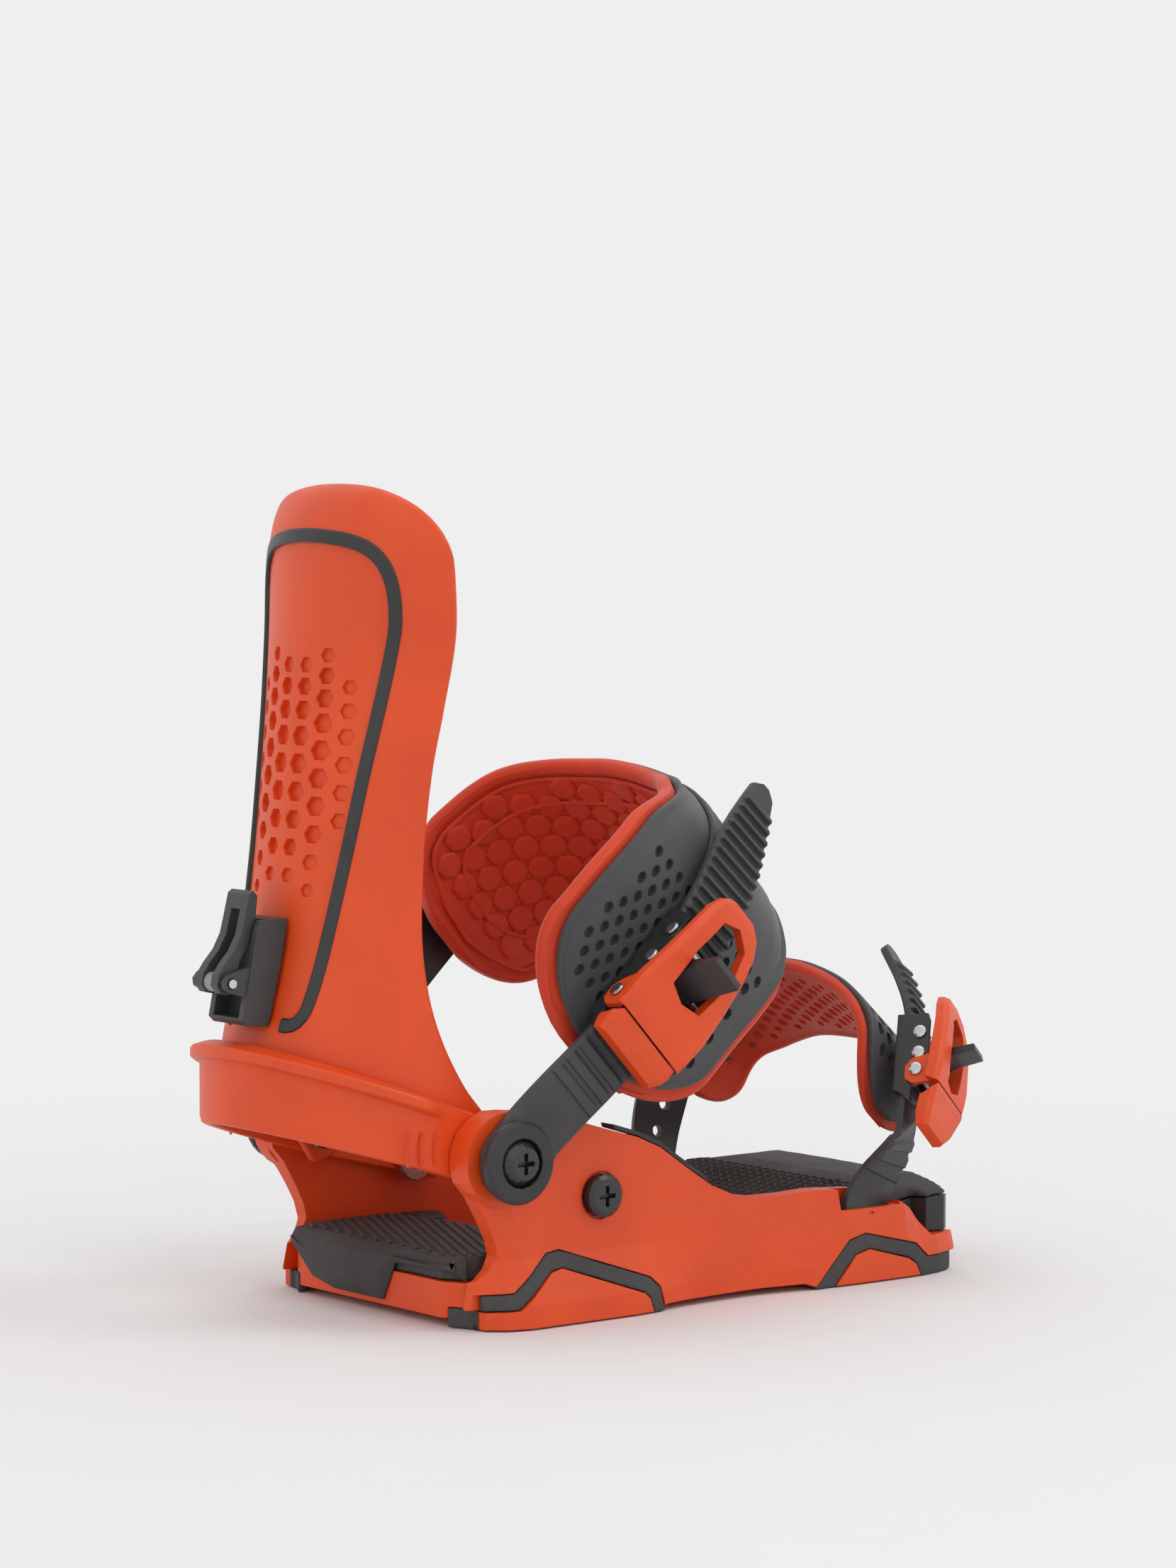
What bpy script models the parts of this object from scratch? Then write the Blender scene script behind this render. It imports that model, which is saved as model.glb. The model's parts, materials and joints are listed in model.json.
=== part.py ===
"""Two-strap snowboard binding, right foot, built as an assembly of separate pieces.

Sizes are in millimetres and are turned into Blender's metres where a mesh is made.
X points to the toe, Z up from the board, and the buckles are on the -Y side.
The origin is the middle of the mounting disc's underside, on the board.
"""
import math

import bmesh
import bpy
from mathutils import Matrix, Vector

MM = 0.001
GAP = 0.3                      # running clearance between pieces that touch

# ---- base -------------------------------------------------------------------------
BASE_REAR_X = -101.0
BASE_FRONT_X = 121.5
WALL_INNER_Y = 53.9
WALL_WAIST_Y = 62.0            # outer face of the side wall at its thinnest
FOOT_BULGE = 5.5               # how far the wall stands out over each foot
FLOOR_Z = 3.0
FLOOR_TOP_Z = 9.0
HEEL_DECK_Z = 15.5
TOE_DECK_Z = 14.0
HEEL_PAD_TOP_Z = 24.0
TOE_RAMP_TOP_Z = 27.0
TOE_PAD_TOP_Z = 33.0
EVA_INNER_Y = 44.5
EVA_OUTER_FROM_Y = 56.5         # above the floor the EVA lies only outside this
EVA_FLOOR_Z = 6.7
FOOT_Z = 0.4                   # the hard feet stop just above the EVA's underside

# ---- mounting disc ----------------------------------------------------------------
DISC_FLANGE_R = 47.5
DISC_SEAT_R = 43.5
DISC_TOP_Z = 9.0
DISC_STEP_Z = 5.2
SCREW_SQUARE = 40.0            # board screw pattern, 40 mm square
BOARD_SCREW_R = 3.0

# ---- pivots and heelcup -------------------------------------------------------------
PIVOT_X = -90.0
PIVOT_Z = 58.5
PIVOT_BOSS_R = 16.5
BOSS_FACE_Y = 64.4
SIDE_BOLT_X = -47.0
SIDE_BOLT_Z = 42.5
BOLT_R = 3.0
HOOP_OUTER_R = 53.5
HOOP_WALL = 4.2
HOOP_REAR_X = -161.0
HOOP_SLOPE = 0.33              # rise of the hoop per millimetre towards the heel
HOOP_HALF_FRONT = 11.6
HOOP_HALF_REAR = 14.2
HOOP_FLANGE = 3.2
HOOP_STEPS = 18

# ---- highback ---------------------------------------------------------------------
BACK_WALL = 3.6
BACK_TOP_Z = 288.0
INLAY_WIDTH = 6.0
INLAY_PROUD = 0.8
LEAN_PIN = (-164.6, 119.0)
LEAN_PIN_R = 1.6
LEAN_HALF = 10.4               # half width of the lean block
LEAN_CHEEK = 2.7
LEAN_LEVER_HALF = 6.6
LEAN_REAR = (-160.8, -154.4)   # the block's rear face at its bottom and its top
LEAN_CLEARANCE = 0.7           # the block slides over a shell that widens as it climbs

# ---- ankle strap ------------------------------------------------------------------
ANKLE_ANGLE = 43.0             # slope of the closed strap, in degrees
ANKLE_LADDER_WIDTH = 25.0
ANKLE_PIN_A = 65.5             # pivot to the lever pin, along the strap
LINER_THICK = 5.0
SHELL_THICK = 3.0
EXO_THICK = 2.4

# ---- toe strap --------------------------------------------------------------------
TOE_ANGLE = 52.0
TOE_ANCHOR_X = 74.6
TOE_ANCHOR_Z = 24.0
TOE_ANCHOR_Y = 61.0
TOE_PIN_R = 1.5
TOE_PLANE_Z = 27.5
TOE_EYE_R = 2.9                # half thickness of the strap's end round its pin
TOE_STRAP_WIDTH = 20.0
TOE_LINER_THICK = 3.0
TOE_DRAW = 0.0030              # how fast the toe strap narrows towards its front edge
DRAW_FROM = 44.0
TOE_SHELL_THICK = 2.6

COLOURS = {
    "orange": ((0.80, 0.115, 0.022, 1.0), 0.45, 0.0),
    "charcoal": ((0.045, 0.045, 0.047, 1.0), 0.55, 0.0),
    "black": ((0.018, 0.018, 0.019, 1.0), 0.45, 0.0),
    "eva": ((0.040, 0.040, 0.042, 1.0), 0.85, 0.0),
    "steel": ((0.62, 0.62, 0.63, 1.0), 0.25, 1.0),
    "grey": ((0.25, 0.25, 0.26, 1.0), 0.4, 0.0),
}

AXIS_PLACES = {}               # where each joint's empty stands, in metres

for stale in list(bpy.data.objects):
    bpy.data.objects.remove(stale, do_unlink=True)

PARTS = bpy.data.collections.new("snowboard_strap_binding")
CUTTERS = bpy.data.collections.new("cutters")
bpy.context.scene.collection.children.link(PARTS)
bpy.context.scene.collection.children.link(CUTTERS)


# ---- small helpers ------------------------------------------------------------------
def material(name, finish):
    """A Principled material of its own for one piece."""
    colour, roughness, metallic = COLOURS[finish]
    mat = bpy.data.materials.new(name + "_mat")
    mat.use_nodes = True
    shader = mat.node_tree.nodes["Principled BSDF"]
    shader.inputs["Base Color"].default_value = colour
    shader.inputs["Roughness"].default_value = roughness
    shader.inputs["Metallic"].default_value = metallic
    return mat


def new_object(name, bm, finish=None):
    """Turn a bmesh in millimetres into an object in metres; without a finish it is a cutter."""
    bmesh.ops.recalc_face_normals(bm, faces=bm.faces)
    bmesh.ops.scale(bm, vec=(MM, MM, MM), verts=bm.verts)
    mesh = bpy.data.meshes.new(name)
    bm.to_mesh(mesh)
    bm.free()
    obj = bpy.data.objects.new(name, mesh)
    if finish is None:
        CUTTERS.objects.link(obj)
        obj.display_type = "WIRE"
        obj.hide_render = True
    else:
        PARTS.objects.link(obj)
        mesh.materials.append(material(name, finish))
        mesh.shade_smooth()
        mesh.set_sharp_from_angle(angle=math.radians(35))
    return obj


def flat(face):
    """Whether a face's corners lie in one plane."""
    middle = face.calc_center_median()
    face.normal_update()
    return all(abs((vert.co - middle).dot(face.normal)) < 1e-4 for vert in face.verts)


def loft(name, rings, finish=None):
    """A closed body through rings of points, all with the same count."""
    bm = bmesh.new()
    loops = [[bm.verts.new(point) for point in ring] for ring in rings]
    count = len(loops[0])
    for first, second in zip(loops, loops[1:]):
        for i in range(count):
            j = (i + 1) % count
            bm.faces.new((first[i], first[j], second[j], second[i]))
    bm.faces.new(loops[0])
    bm.faces.new(list(reversed(loops[-1])))
    bmesh.ops.triangulate(bm, faces=[face for face in bm.faces if not flat(face)])
    return new_object(name, bm, finish)


def slab(name, outline, low, high, finish=None, axis="Z"):
    """A flat outline with thickness: in XY along Z, or in XZ along Y."""
    if axis == "Z":
        rings = [[(u, v, level) for u, v in outline] for level in (low, high)]
    else:
        rings = [[(u, level, v) for u, v in outline] for level in (low, high)]
    return loft(name, rings, finish)


def box(name, low, high, finish=None):
    """A box between two corners."""
    outline = [(low[0], low[1]), (high[0], low[1]), (high[0], high[1]), (low[0], high[1])]
    return slab(name, outline, low[2], high[2], finish)


def rod(name, start, end, radius, finish=None, sides=16, end_radius=None):
    """A round bar or cone from start to end."""
    start, end = Vector(start), Vector(end)
    bm = bmesh.new()
    along = end - start
    bmesh.ops.create_cone(bm, cap_ends=True, segments=sides, radius1=radius,
                          radius2=radius if end_radius is None else end_radius, depth=along.length)
    turn = along.to_track_quat("Z", "Y").to_matrix().to_4x4()
    bmesh.ops.transform(bm, matrix=Matrix.Translation((start + end) / 2) @ turn, verts=bm.verts)
    return new_object(name, bm, finish)


def turned(name, profile, base, axis, finish, sides=16):
    """A turned piece: profile of (radius, height) points, closed onto the axis."""
    axis = Vector(axis).normalized()
    turn = Matrix.Translation(Vector(base)) @ axis.to_track_quat("Z", "Y").to_matrix().to_4x4()
    bm = bmesh.new()
    rings = []
    for radius, height in profile:
        rings.append([bm.verts.new(turn @ Vector((radius * math.cos(k * math.tau / sides),
                                                  radius * math.sin(k * math.tau / sides), height)))
                      for k in range(sides)])
    for first, second in zip(rings, rings[1:]):
        for k in range(sides):
            m = (k + 1) % sides
            bm.faces.new((first[k], first[m], second[m], second[k]))
    bm.faces.new(rings[0])
    bm.faces.new(rings[-1])
    return new_object(name, bm, finish)


def boolean(obj, cutter, operation="DIFFERENCE"):
    """Add an exact Boolean to an object."""
    mod = obj.modifiers.new(operation.lower(), "BOOLEAN")
    mod.object = cutter
    mod.operation = operation
    mod.solver = "EXACT"
    return obj


def absorb(obj, other):
    """Unite another body with this one; the other stays as a guide among the cutters."""
    boolean(obj, other, "UNION")
    return obj


def knots(x, table):
    """Smooth value at x through a short list of (x, value) pairs."""
    if x <= table[0][0]:
        return table[0][1]
    for (x0, v0), (x1, v1) in zip(table, table[1:]):
        if x <= x1:
            t = (x - x0) / (x1 - x0)
            return v0 + (v1 - v0) * t * t * (3 - 2 * t)
    return table[-1][1]


def line_knots(x, table):
    """Straight-line value at x through a short list of (x, value) pairs."""
    if x <= table[0][0]:
        return table[0][1]
    for (x0, v0), (x1, v1) in zip(table, table[1:]):
        if x <= x1:
            return v0 + (v1 - v0) * (x - x0) / (x1 - x0)
    return table[-1][1]


def curve_through(points, count):
    """Evenly spaced points on a smooth curve through the given ones."""
    points = [Vector(p) for p in points]
    padded = [2 * points[0] - points[1]] + points + [2 * points[-1] - points[-2]]
    dense = []
    for p0, p1, p2, p3 in zip(padded, padded[1:], padded[2:], padded[3:]):
        for k in range(24):
            t = k / 24
            dense.append(0.5 * (2 * p1 + (p2 - p0) * t + (2 * p0 - 5 * p1 + 4 * p2 - p3) * t * t
                                + (3 * p1 - p0 - 3 * p2 + p3) * t ** 3))
    dense.append(points[-1])
    lengths = [0.0]
    for a, b in zip(dense, dense[1:]):
        lengths.append(lengths[-1] + (b - a).length)
    result = []
    index = 0
    for k in range(count):
        target = lengths[-1] * k / (count - 1)
        while index < len(lengths) - 2 and lengths[index + 1] < target:
            index += 1
        span = lengths[index + 1] - lengths[index]
        share = (target - lengths[index]) / span if span else 0.0
        result.append(dense[index].lerp(dense[index + 1], min(1.0, share)))
    return result


def empty(name, place, parent=None):
    """A joint axis: an empty at the given place in millimetres."""
    obj = bpy.data.objects.new(name, None)
    PARTS.objects.link(obj)
    obj.hide_render = True
    world = Vector(place) * MM
    if parent is not None:
        obj.parent = parent
        world -= Vector(AXIS_PLACES[parent.name])
    obj.location = world
    AXIS_PLACES[name] = tuple(Vector(place) * MM)
    return obj


def hang(obj, axis):
    """Give an object its joint's axis as origin and parent, with its shape left in place."""
    place = Vector(AXIS_PLACES[axis.name])
    obj.data.transform(Matrix.Translation(-place))
    obj.parent = axis
    return obj


# ---- base ---------------------------------------------------------------------------
def wall_face(x, z):
    """Distance of the side wall's outer face from the middle plane."""
    over_feet = knots(x, [(-95, 1.0), (-35, 1.0), (-2, 0.15), (22, 0.0), (52, 0.8), (70, 1.0)])
    slot = knots(x, [(50, 0.0), (61, 1.0), (89, 1.0), (99, 0.0)])
    low = 1.0 - knots(z, [(6 + 16 * slot, 0.0), (27 + 15 * slot, 1.0)])
    face = WALL_WAIST_Y + FOOT_BULGE * over_feet * low
    if x < -80:
        face -= 0.030 * (x + 80) ** 2 * (1.0 - knots(z, [(20, 0.0), (40, 1.0)]))
    if x > 96:
        face -= 0.0105 * (x - 96) ** 2
    return face - 0.02 * max(0.0, z - 30)


def wall_envelope(name, side):
    """The side wall's full lateral shape, before its outline is cut."""
    levels = [-1, 8, 16, 24, 32, 45, 80]
    rings = []
    x = BASE_REAR_X - 6
    while x <= BASE_FRONT_X + 8:
        ring = [(x, -side * 30.0, -1), (x, -side * 30.0, 80)]
        ring += [(x, -side * wall_face(x, z), z) for z in reversed(levels)]
        rings.append(ring)
        x += 9.0
    return loft(name, rings)


def wall_outline():
    """The side wall seen from the side, as (x, z) points."""
    points = [(-101, 9.2), (-99, 3), (-96, FOOT_Z), (-24, FOOT_Z), (-20, 2.2), (44, 2.4), (50, FOOT_Z),
              (101, FOOT_Z), (104, 2.5), (121.3, 2.5), (121.3, 13.6), (106.4, 13.9), (105.4, 15.0)]
    points += [(101, 19), (95.5, 25), (88, 29), (82, 33.0), (53, 35.0)]
    points += [(38, 34.6), (25, 34.8), (14, 36.8), (3, 41.4), (-8, 48.6), (-20, 56.8), (-30, 61.2),
               (-42, 64.6), (-58, 69.4), (-76, 73.6)]
    for degrees in (78, 100, 122, 144, 166, 188, 206):
        angle = math.radians(degrees)
        points.append((PIVOT_X + PIVOT_BOSS_R * math.cos(angle), PIVOT_Z + PIVOT_BOSS_R * math.sin(angle)))
    points += [(-100.2, 46), (-95, 37), (-91.6, 30), (-90.4, 25), (-92.5, 20.5), (-96.5, 17.0),
               (-101, 15.6)]
    return points


REAR_BAND = [(-106, 11.4), (-86, 12.6), (-71, 24.6), (-65.5, 25.4), (-28, 12.4), (-23.6, 8.6), (-19.8, -3)]
REAR_FOOT = [(-96, -3), (-96, 6.6), (-85, 7.0), (-70.5, 18.4), (-65.6, 19.4), (-31, 7.6), (-28.4, 5.4),
             (-25.6, -3)]
FRONT_BAND = [(45.5, -3), (64, 16.4), (71.5, 18.2), (96.5, 12.0), (102.5, 6.6), (124, 6.6)]
FRONT_FOOT = [(54.6, -3), (66.6, 11.0), (73, 12.6), (92.6, 7.4), (96.4, 5.0), (100.6, -3)]


def grown(outline, amount):
    """An open outline's top moved up and its ends moved out, for a cutter with clearance."""
    middle = sum(x for x, z in outline) / len(outline)
    return [(x + (amount if x > middle else -amount), z + (amount if z > 0 else 0.0)) for x, z in outline]


def closed_down(outline):
    """Close a band's top outline along a line below the board."""
    return outline + [(outline[-1][0], -6.0), (outline[0][0], -6.0)]


def build_base():
    """Base tray, EVA cushions, feet, footbeds, trims."""
    profile = [(-104, FLOOR_Z), (-104, HEEL_DECK_Z), (-49, HEEL_DECK_Z), (-49, FLOOR_TOP_Z),
               (51, FLOOR_TOP_Z),
               (51, TOE_DECK_Z), (124, TOE_DECK_Z), (124, FLOOR_Z)]
    tray = slab("base_tray", profile, -54.9, 54.9, "orange", axis="Y")
    plan = slab("tray_plan", [(-101, -42), (-97, -50), (-88, -58), (100, -58), (100, -80), (119.5, -80),
                              (121.5, -55), (122, 0),
                              (121.5, 55), (119.5, 80), (100, 80), (100, 58), (-88, 58), (-97, 50),
                              (-101, 42)], 0, 30)
    boolean(tray, plan, "INTERSECT")
    for side, tag in ((1, "near"), (-1, "far")):
        wall = wall_envelope("wall_" + tag, side)
        band = sorted((-side * (WALL_INNER_Y), -side * 80.0))
        plate = slab("wall_plate_" + tag, wall_outline(), band[0], band[1], axis="Y")
        boolean(wall, plate, "INTERSECT")
        absorb(tray, wall)
        boss = rod("boss_" + tag, (PIVOT_X, -side * 58, PIVOT_Z), (PIVOT_X, -side * BOSS_FACE_Y, PIVOT_Z),
                   PIVOT_BOSS_R, sides=28)
        absorb(tray, boss)
    cut_base(tray)
    build_eva()
    build_footbeds()
    return tray


def cut_base(tray):
    """Cut the disc window, the EVA recesses, the strap slots and the bolt holes."""
    boolean(tray, rod("disc_window", (0, 0, -1), (0, 0, 20), DISC_SEAT_R + 0.5, sides=40))
    boolean(tray, rod("disc_rebate", (0, 0, DISC_STEP_Z - GAP), (0, 0, 20), DISC_FLANGE_R + 0.5, sides=40))
    for side, tag in ((1, "near"), (-1, "far")):
        inner, outer = sorted((-side * (EVA_INNER_Y - GAP), -side * 80.0))
        for part, outline, foot in (("rear", REAR_BAND, REAR_FOOT), ("front", FRONT_BAND, FRONT_FOOT)):
            cutter = slab("recess_%s_%s" % (part, tag), closed_down(grown(outline, GAP)), inner, outer,
                          axis="Y")
            low, high = sorted((-side * 20.0, -side * 92.0))
            keep = slab("foot_%s_%s" % (part, tag), closed_down(grown(foot, -GAP)), low, high, axis="Y")
            boolean(cutter, keep)
            low, high = sorted((-side * 20.0, -side * (EVA_OUTER_FROM_Y - GAP)))
            boolean(cutter, box("deck_%s_%s" % (part, tag), (-140, low, EVA_FLOOR_Z + GAP),
                                (140, high, 60)))
            boolean(tray, cutter)
        inner, outer = sorted((-side * (TOE_ANCHOR_Y - 3.3), -side * (TOE_ANCHOR_Y + 3.3)))
        boolean(tray, box("strap_slot_" + tag, (TOE_ANCHOR_X - 12.2, inner, 19.2),
                          (TOE_ANCHOR_X + 12.2, outer, 60)))
        inner, outer = sorted((-side * (TOE_ANCHOR_Y - 3.3), -side * 80.0))
        lip = box("slot_lip_" + tag, (TOE_ANCHOR_X - 13.2, inner, 27.2), (TOE_ANCHOR_X + 14.5, outer, 60))
        boolean(tray, lip)
        for name, x, z in (("pivot_hole", PIVOT_X, PIVOT_Z), ("side_hole", SIDE_BOLT_X, SIDE_BOLT_Z)):
            boolean(tray, rod(name + "_" + tag, (x, -side * 50, z), (x, -side * 80, z), BOLT_R + GAP,
                              sides=16))
        boolean(tray, rod("counterbore_" + tag, (SIDE_BOLT_X, -side * 60.6, SIDE_BOLT_Z),
                          (SIDE_BOLT_X, -side * 80, SIDE_BOLT_Z), 8.4, sides=16))
        boolean(tray, anchor_rod("anchor_hole_" + tag, side, 5.9, TOE_PIN_R + GAP))


def build_eva():
    """Four EVA cushions, each wrapped over a hard foot of the base."""
    for side, tag in ((1, "near"), (-1, "far")):
        inner, outer = sorted((-side * EVA_INNER_Y, -side * 80.0))
        for part, band, foot in (("rear", REAR_BAND, REAR_FOOT), ("front", FRONT_BAND, FRONT_FOOT)):
            eva = slab("eva_%s_%s" % (part, tag), closed_down(band), inner, outer, "eva", axis="Y")
            shape = wall_envelope("eva_shape_%s_%s" % (part, tag), side)
            boolean(eva, shape, "INTERSECT")
            boolean(eva, box("ground_%s_%s" % (part, tag), (-140, -90, -20), (140, 90, 0)))
            boolean(eva, end_limit("eva_limit_%s_%s" % (part, tag), part), "INTERSECT")
            pocket = slab("foot_pocket_%s_%s" % (part, tag), closed_down(foot), inner - 2, outer + 2,
                          axis="Y")
            boolean(eva, pocket)
            low, high = sorted((-side * 20.0, -side * EVA_OUTER_FROM_Y))
            boolean(eva, box("eva_deck_%s_%s" % (part, tag), (-140, low, EVA_FLOOR_Z), (140, high, 60)))


def end_limit(name, part):
    """The rounded end of the base in plan, as a tall slab."""
    if part == "rear":
        return slab(name, [(-101.5, -43), (-97, -51), (-90, -90), (40, -90), (40, 90), (-90, 90), (-97, 51),
                           (-101.5, 43)], -2, 40)
    return slab(name, [(30, -90), (115, -90), (116.5, -62.5), (119.2, -60.5), (121.0, -57), (121.6, -52),
                       (121.6, 52), (121.0, 57), (119.2, 60.5), (116.5, 62.5), (115, 90), (30, 90)], -2, 40)


def build_footbeds():
    """Heel pad, two small tabs, toe ramp and toe pad."""
    heel = [(-100, -41), (-96, -47), (-90, -49), (-58, -49), (-55, -45), (-50, -20), (-49.5, 0), (-50, 20),
            (-55, 45), (-58, 49), (-90, 49), (-96, 47), (-100, 41)]
    slab("heel_footbed", heel, HEEL_DECK_Z + GAP, HEEL_PAD_TOP_Z, "eva")
    for side, tag in ((1, "near"), (-1, "far")):
        tab = [(-49, -side * 38), (-44, -side * 34), (-41, -side * 36), (-36, -side * 46),
               (-36, -side * 50),
               (-40, -side * 52.5), (-49, -side * 52.5)]
        slab("footbed_tab_" + tag, tab, FLOOR_TOP_Z + GAP, HEEL_PAD_TOP_Z - 1.0, "eva")
    half = [(51.8, 0), (52.0, 30), (53.6, 44), (58, 52.6), (106.5, 52.6), (109, 58.6), (117, 59.6),
            (120.4, 57.0),
            (121.6, 50.0)]
    toe = [half[0]] + [(x, -y) for x, y in half[1:]] + [(x, y) for x, y in reversed(half[1:])]
    ramp = slab("toe_ramp", toe, TOE_DECK_Z + GAP, TOE_RAMP_TOP_Z, "black")
    slope = slab("ramp_slope", [(0, 17), (62, 19), (112, TOE_RAMP_TOP_Z), (112, 60), (0, 60)], -90, 90,
                 axis="Y")
    boolean(ramp, slope)
    pad = slab("toe_footbed", toe, TOE_DECK_Z + GAP, TOE_PAD_TOP_Z, "eva")
    for side, tag in ((1, "near"), (-1, "far")):
        edge = [(-side * 36, 60), (-side * 36, 33.4), (-side * 52, 30.2), (-side * 64, 26.2),
                (-side * 64, 60)]
        rings = [[(x, y, z) for y, z in edge] for x in (30, 140)]
        boolean(pad, loft("pad_shoulder_" + tag, rings))
    below = slab("pad_slope", [(0, 17 + GAP), (62, 19 + GAP), (112, TOE_RAMP_TOP_Z + GAP),
                               (150, TOE_RAMP_TOP_Z + GAP), (150, -10), (0, -10)], -90, 90, axis="Y")
    boolean(pad, below)
    above = slab("pad_crown", [(0, 22), (50, 23), (84, 31), (100, 33.2), (150, 33.2), (150, 60), (0, 60)],
                 -90, 90, axis="Y")
    boolean(pad, above)
    boolean(pad, rod("toe_slot_a", (88, -30, 20), (88, -30, 50), 3.0, sides=16))


def trim_outline():
    """Edge trim on the wall's top, as (x, z) points."""
    top = [(-41, 66.6), (-30, 63.2), (-20, 58.8), (-8, 50.6), (1.6, 44.4)]
    under = [(0.8, 43.5), (-8, 48.6 + GAP + 0.1), (-20, 56.8 + GAP + 0.1), (-30, 61.2 + GAP + 0.2),
             (-40.4, 64.5 + GAP + 0.1)]
    return top + under


# ---- pivots ---------------------------------------------------------------------------
def build_fasteners():
    """Pivot screws, side screws and their nuts, and the mounting disc with its screws."""
    for side, tag in ((1, "near"), (-1, "far")):
        out = (0, -side, 0)
        screw = [(BOLT_R, 41.6), (BOLT_R, 70.9), (8.2, 70.9), (8.2, 71.8), (5.6, 75.4), (5.0, 75.6)]
        bolt = turned("pivot_screw_" + tag, screw, (PIVOT_X, 0, PIVOT_Z), out, "black", sides=16)
        cross_recess(bolt, "pivot_recess_" + tag, PIVOT_X, PIVOT_Z, side, 72.8)
        short = [(BOLT_R, 45.2), (BOLT_R, 61.0), (7.5, 61.0), (7.5, 64.6), (6.2, 65.6), (5.6, 65.7)]
        bolt = turned("side_screw_" + tag, short, (SIDE_BOLT_X, 0, SIDE_BOLT_Z), out, "black", sides=16)
        cross_recess(bolt, "side_recess_" + tag, SIDE_BOLT_X, SIDE_BOLT_Z, side, 63.4)
        for name, x, z, low in (("pivot_nut_", PIVOT_X, PIVOT_Z, 41.8), ("side_nut_", SIDE_BOLT_X,
                                                                         SIDE_BOLT_Z, 45.6)):
            nut = turned(name + tag, [(7.0, low), (7.5, low + 0.5), (7.5, low + 2.6), (7.3, low + 2.8)],
                         (x, 0, z), out, "steel", sides=12)
            boolean(nut, rod(name + "bore_" + tag, (x, -side * (low - 3), z), (x, -side * (low + 6), z),
                             BOLT_R + GAP, sides=16))
    disc = turned("mounting_disc", [(42.0, 0), (DISC_SEAT_R - 0.2, 1.0), (DISC_SEAT_R - 0.2, DISC_STEP_Z),
                                    (DISC_FLANGE_R, DISC_STEP_Z), (DISC_FLANGE_R, DISC_TOP_Z - 1),
                                    (DISC_FLANGE_R - 1, DISC_TOP_Z)], (0, 0, 0), (0, 0, 1), "black",
                                    sides=40)
    half = SCREW_SQUARE / 2
    for index, (x, y) in enumerate(((half, half), (-half, half), (-half, -half), (half, -half)), start=1):
        boolean(disc, rod("disc_bore_%d" % index, (x, y, -2), (x, y, 20), BOARD_SCREW_R + GAP, sides=12))
        boolean(disc, rod("disc_sink_%d" % index, (x, y, 4.6), (x, y, 20), 6.4, sides=12))
        bolt = turned("board_screw_%d" % index, [(BOARD_SCREW_R, 0.4), (BOARD_SCREW_R, 4.9), (5.6, 4.9),
                                                 (5.6, 7.0), (4.6, 8.2)], (x, y, 0), (0, 0, 1), "steel",
                                                 sides=12)
        boolean(bolt, box("screw_slot_%d" % index, (x - 3, y - 0.7, 6.4), (x + 3, y + 0.7, 12)))


def cross_recess(bolt, name, x, z, side, depth):
    """A cross recess in a screw head."""
    low, high = sorted((-side * depth, -side * 90))
    boolean(bolt, box(name + "_a", (x - 3.6, low, z - 0.8), (x + 3.6, high, z + 0.8)))
    boolean(bolt, box(name + "_b", (x - 0.8, low, z - 3.6), (x + 0.8, high, z + 3.6)))


def build_trims():
    """The soft edge trims on top of the walls."""
    for side, tag in ((1, "near"), (-1, "far")):
        low, high = sorted((-side * (WALL_INNER_Y + 0.4), -side * (WALL_WAIST_Y - 0.6)))
        slab("edge_trim_" + tag, trim_outline(), low, high, "black", axis="Y")


# ---- heelcup --------------------------------------------------------------------------
def hoop_path():
    """Points and outward normals round the hoop, from the near arm's front end to the far one's."""
    centre_x = HOOP_REAR_X + HOOP_OUTER_R
    path = []
    for x in (-36.0, -50.0, -66.0, -82.0, -98.0):
        path.append(((x, -1.0), (0.0, -1.0)))
    for step in range(HOOP_STEPS + 1):
        angle = math.radians(-90 - 180 / HOOP_STEPS * step)
        path.append(((centre_x / HOOP_OUTER_R, 0.0), (math.cos(angle), math.sin(angle))))
    path += [((x, 1.0), (0.0, 1.0)) for x in (-98.0, -82.0, -66.0, -50.0, -36.0)]
    result = []
    for (x, side), (nx, ny) in path:
        if side == 0.0:
            result.append((centre_x, 0.0, nx, ny))
        else:
            result.append((x, 0.0, nx, ny))
    return result


def hoop_mid(x):
    """Height of the hoop band's middle, and half its height, at a place along the binding."""
    share = min(1.0, max(0.0, (PIVOT_X - x) / (PIVOT_X - HOOP_REAR_X)))
    half = HOOP_HALF_FRONT + (HOOP_HALF_REAR - HOOP_HALF_FRONT) * share
    if x > PIVOT_X:
        half -= 2.6 * (x - PIVOT_X) / 54.0
        return PIVOT_Z + 1.5 - 0.30 * (x - PIVOT_X), half
    return PIVOT_Z + 1.5 + HOOP_SLOPE * (PIVOT_X - x), half


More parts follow.
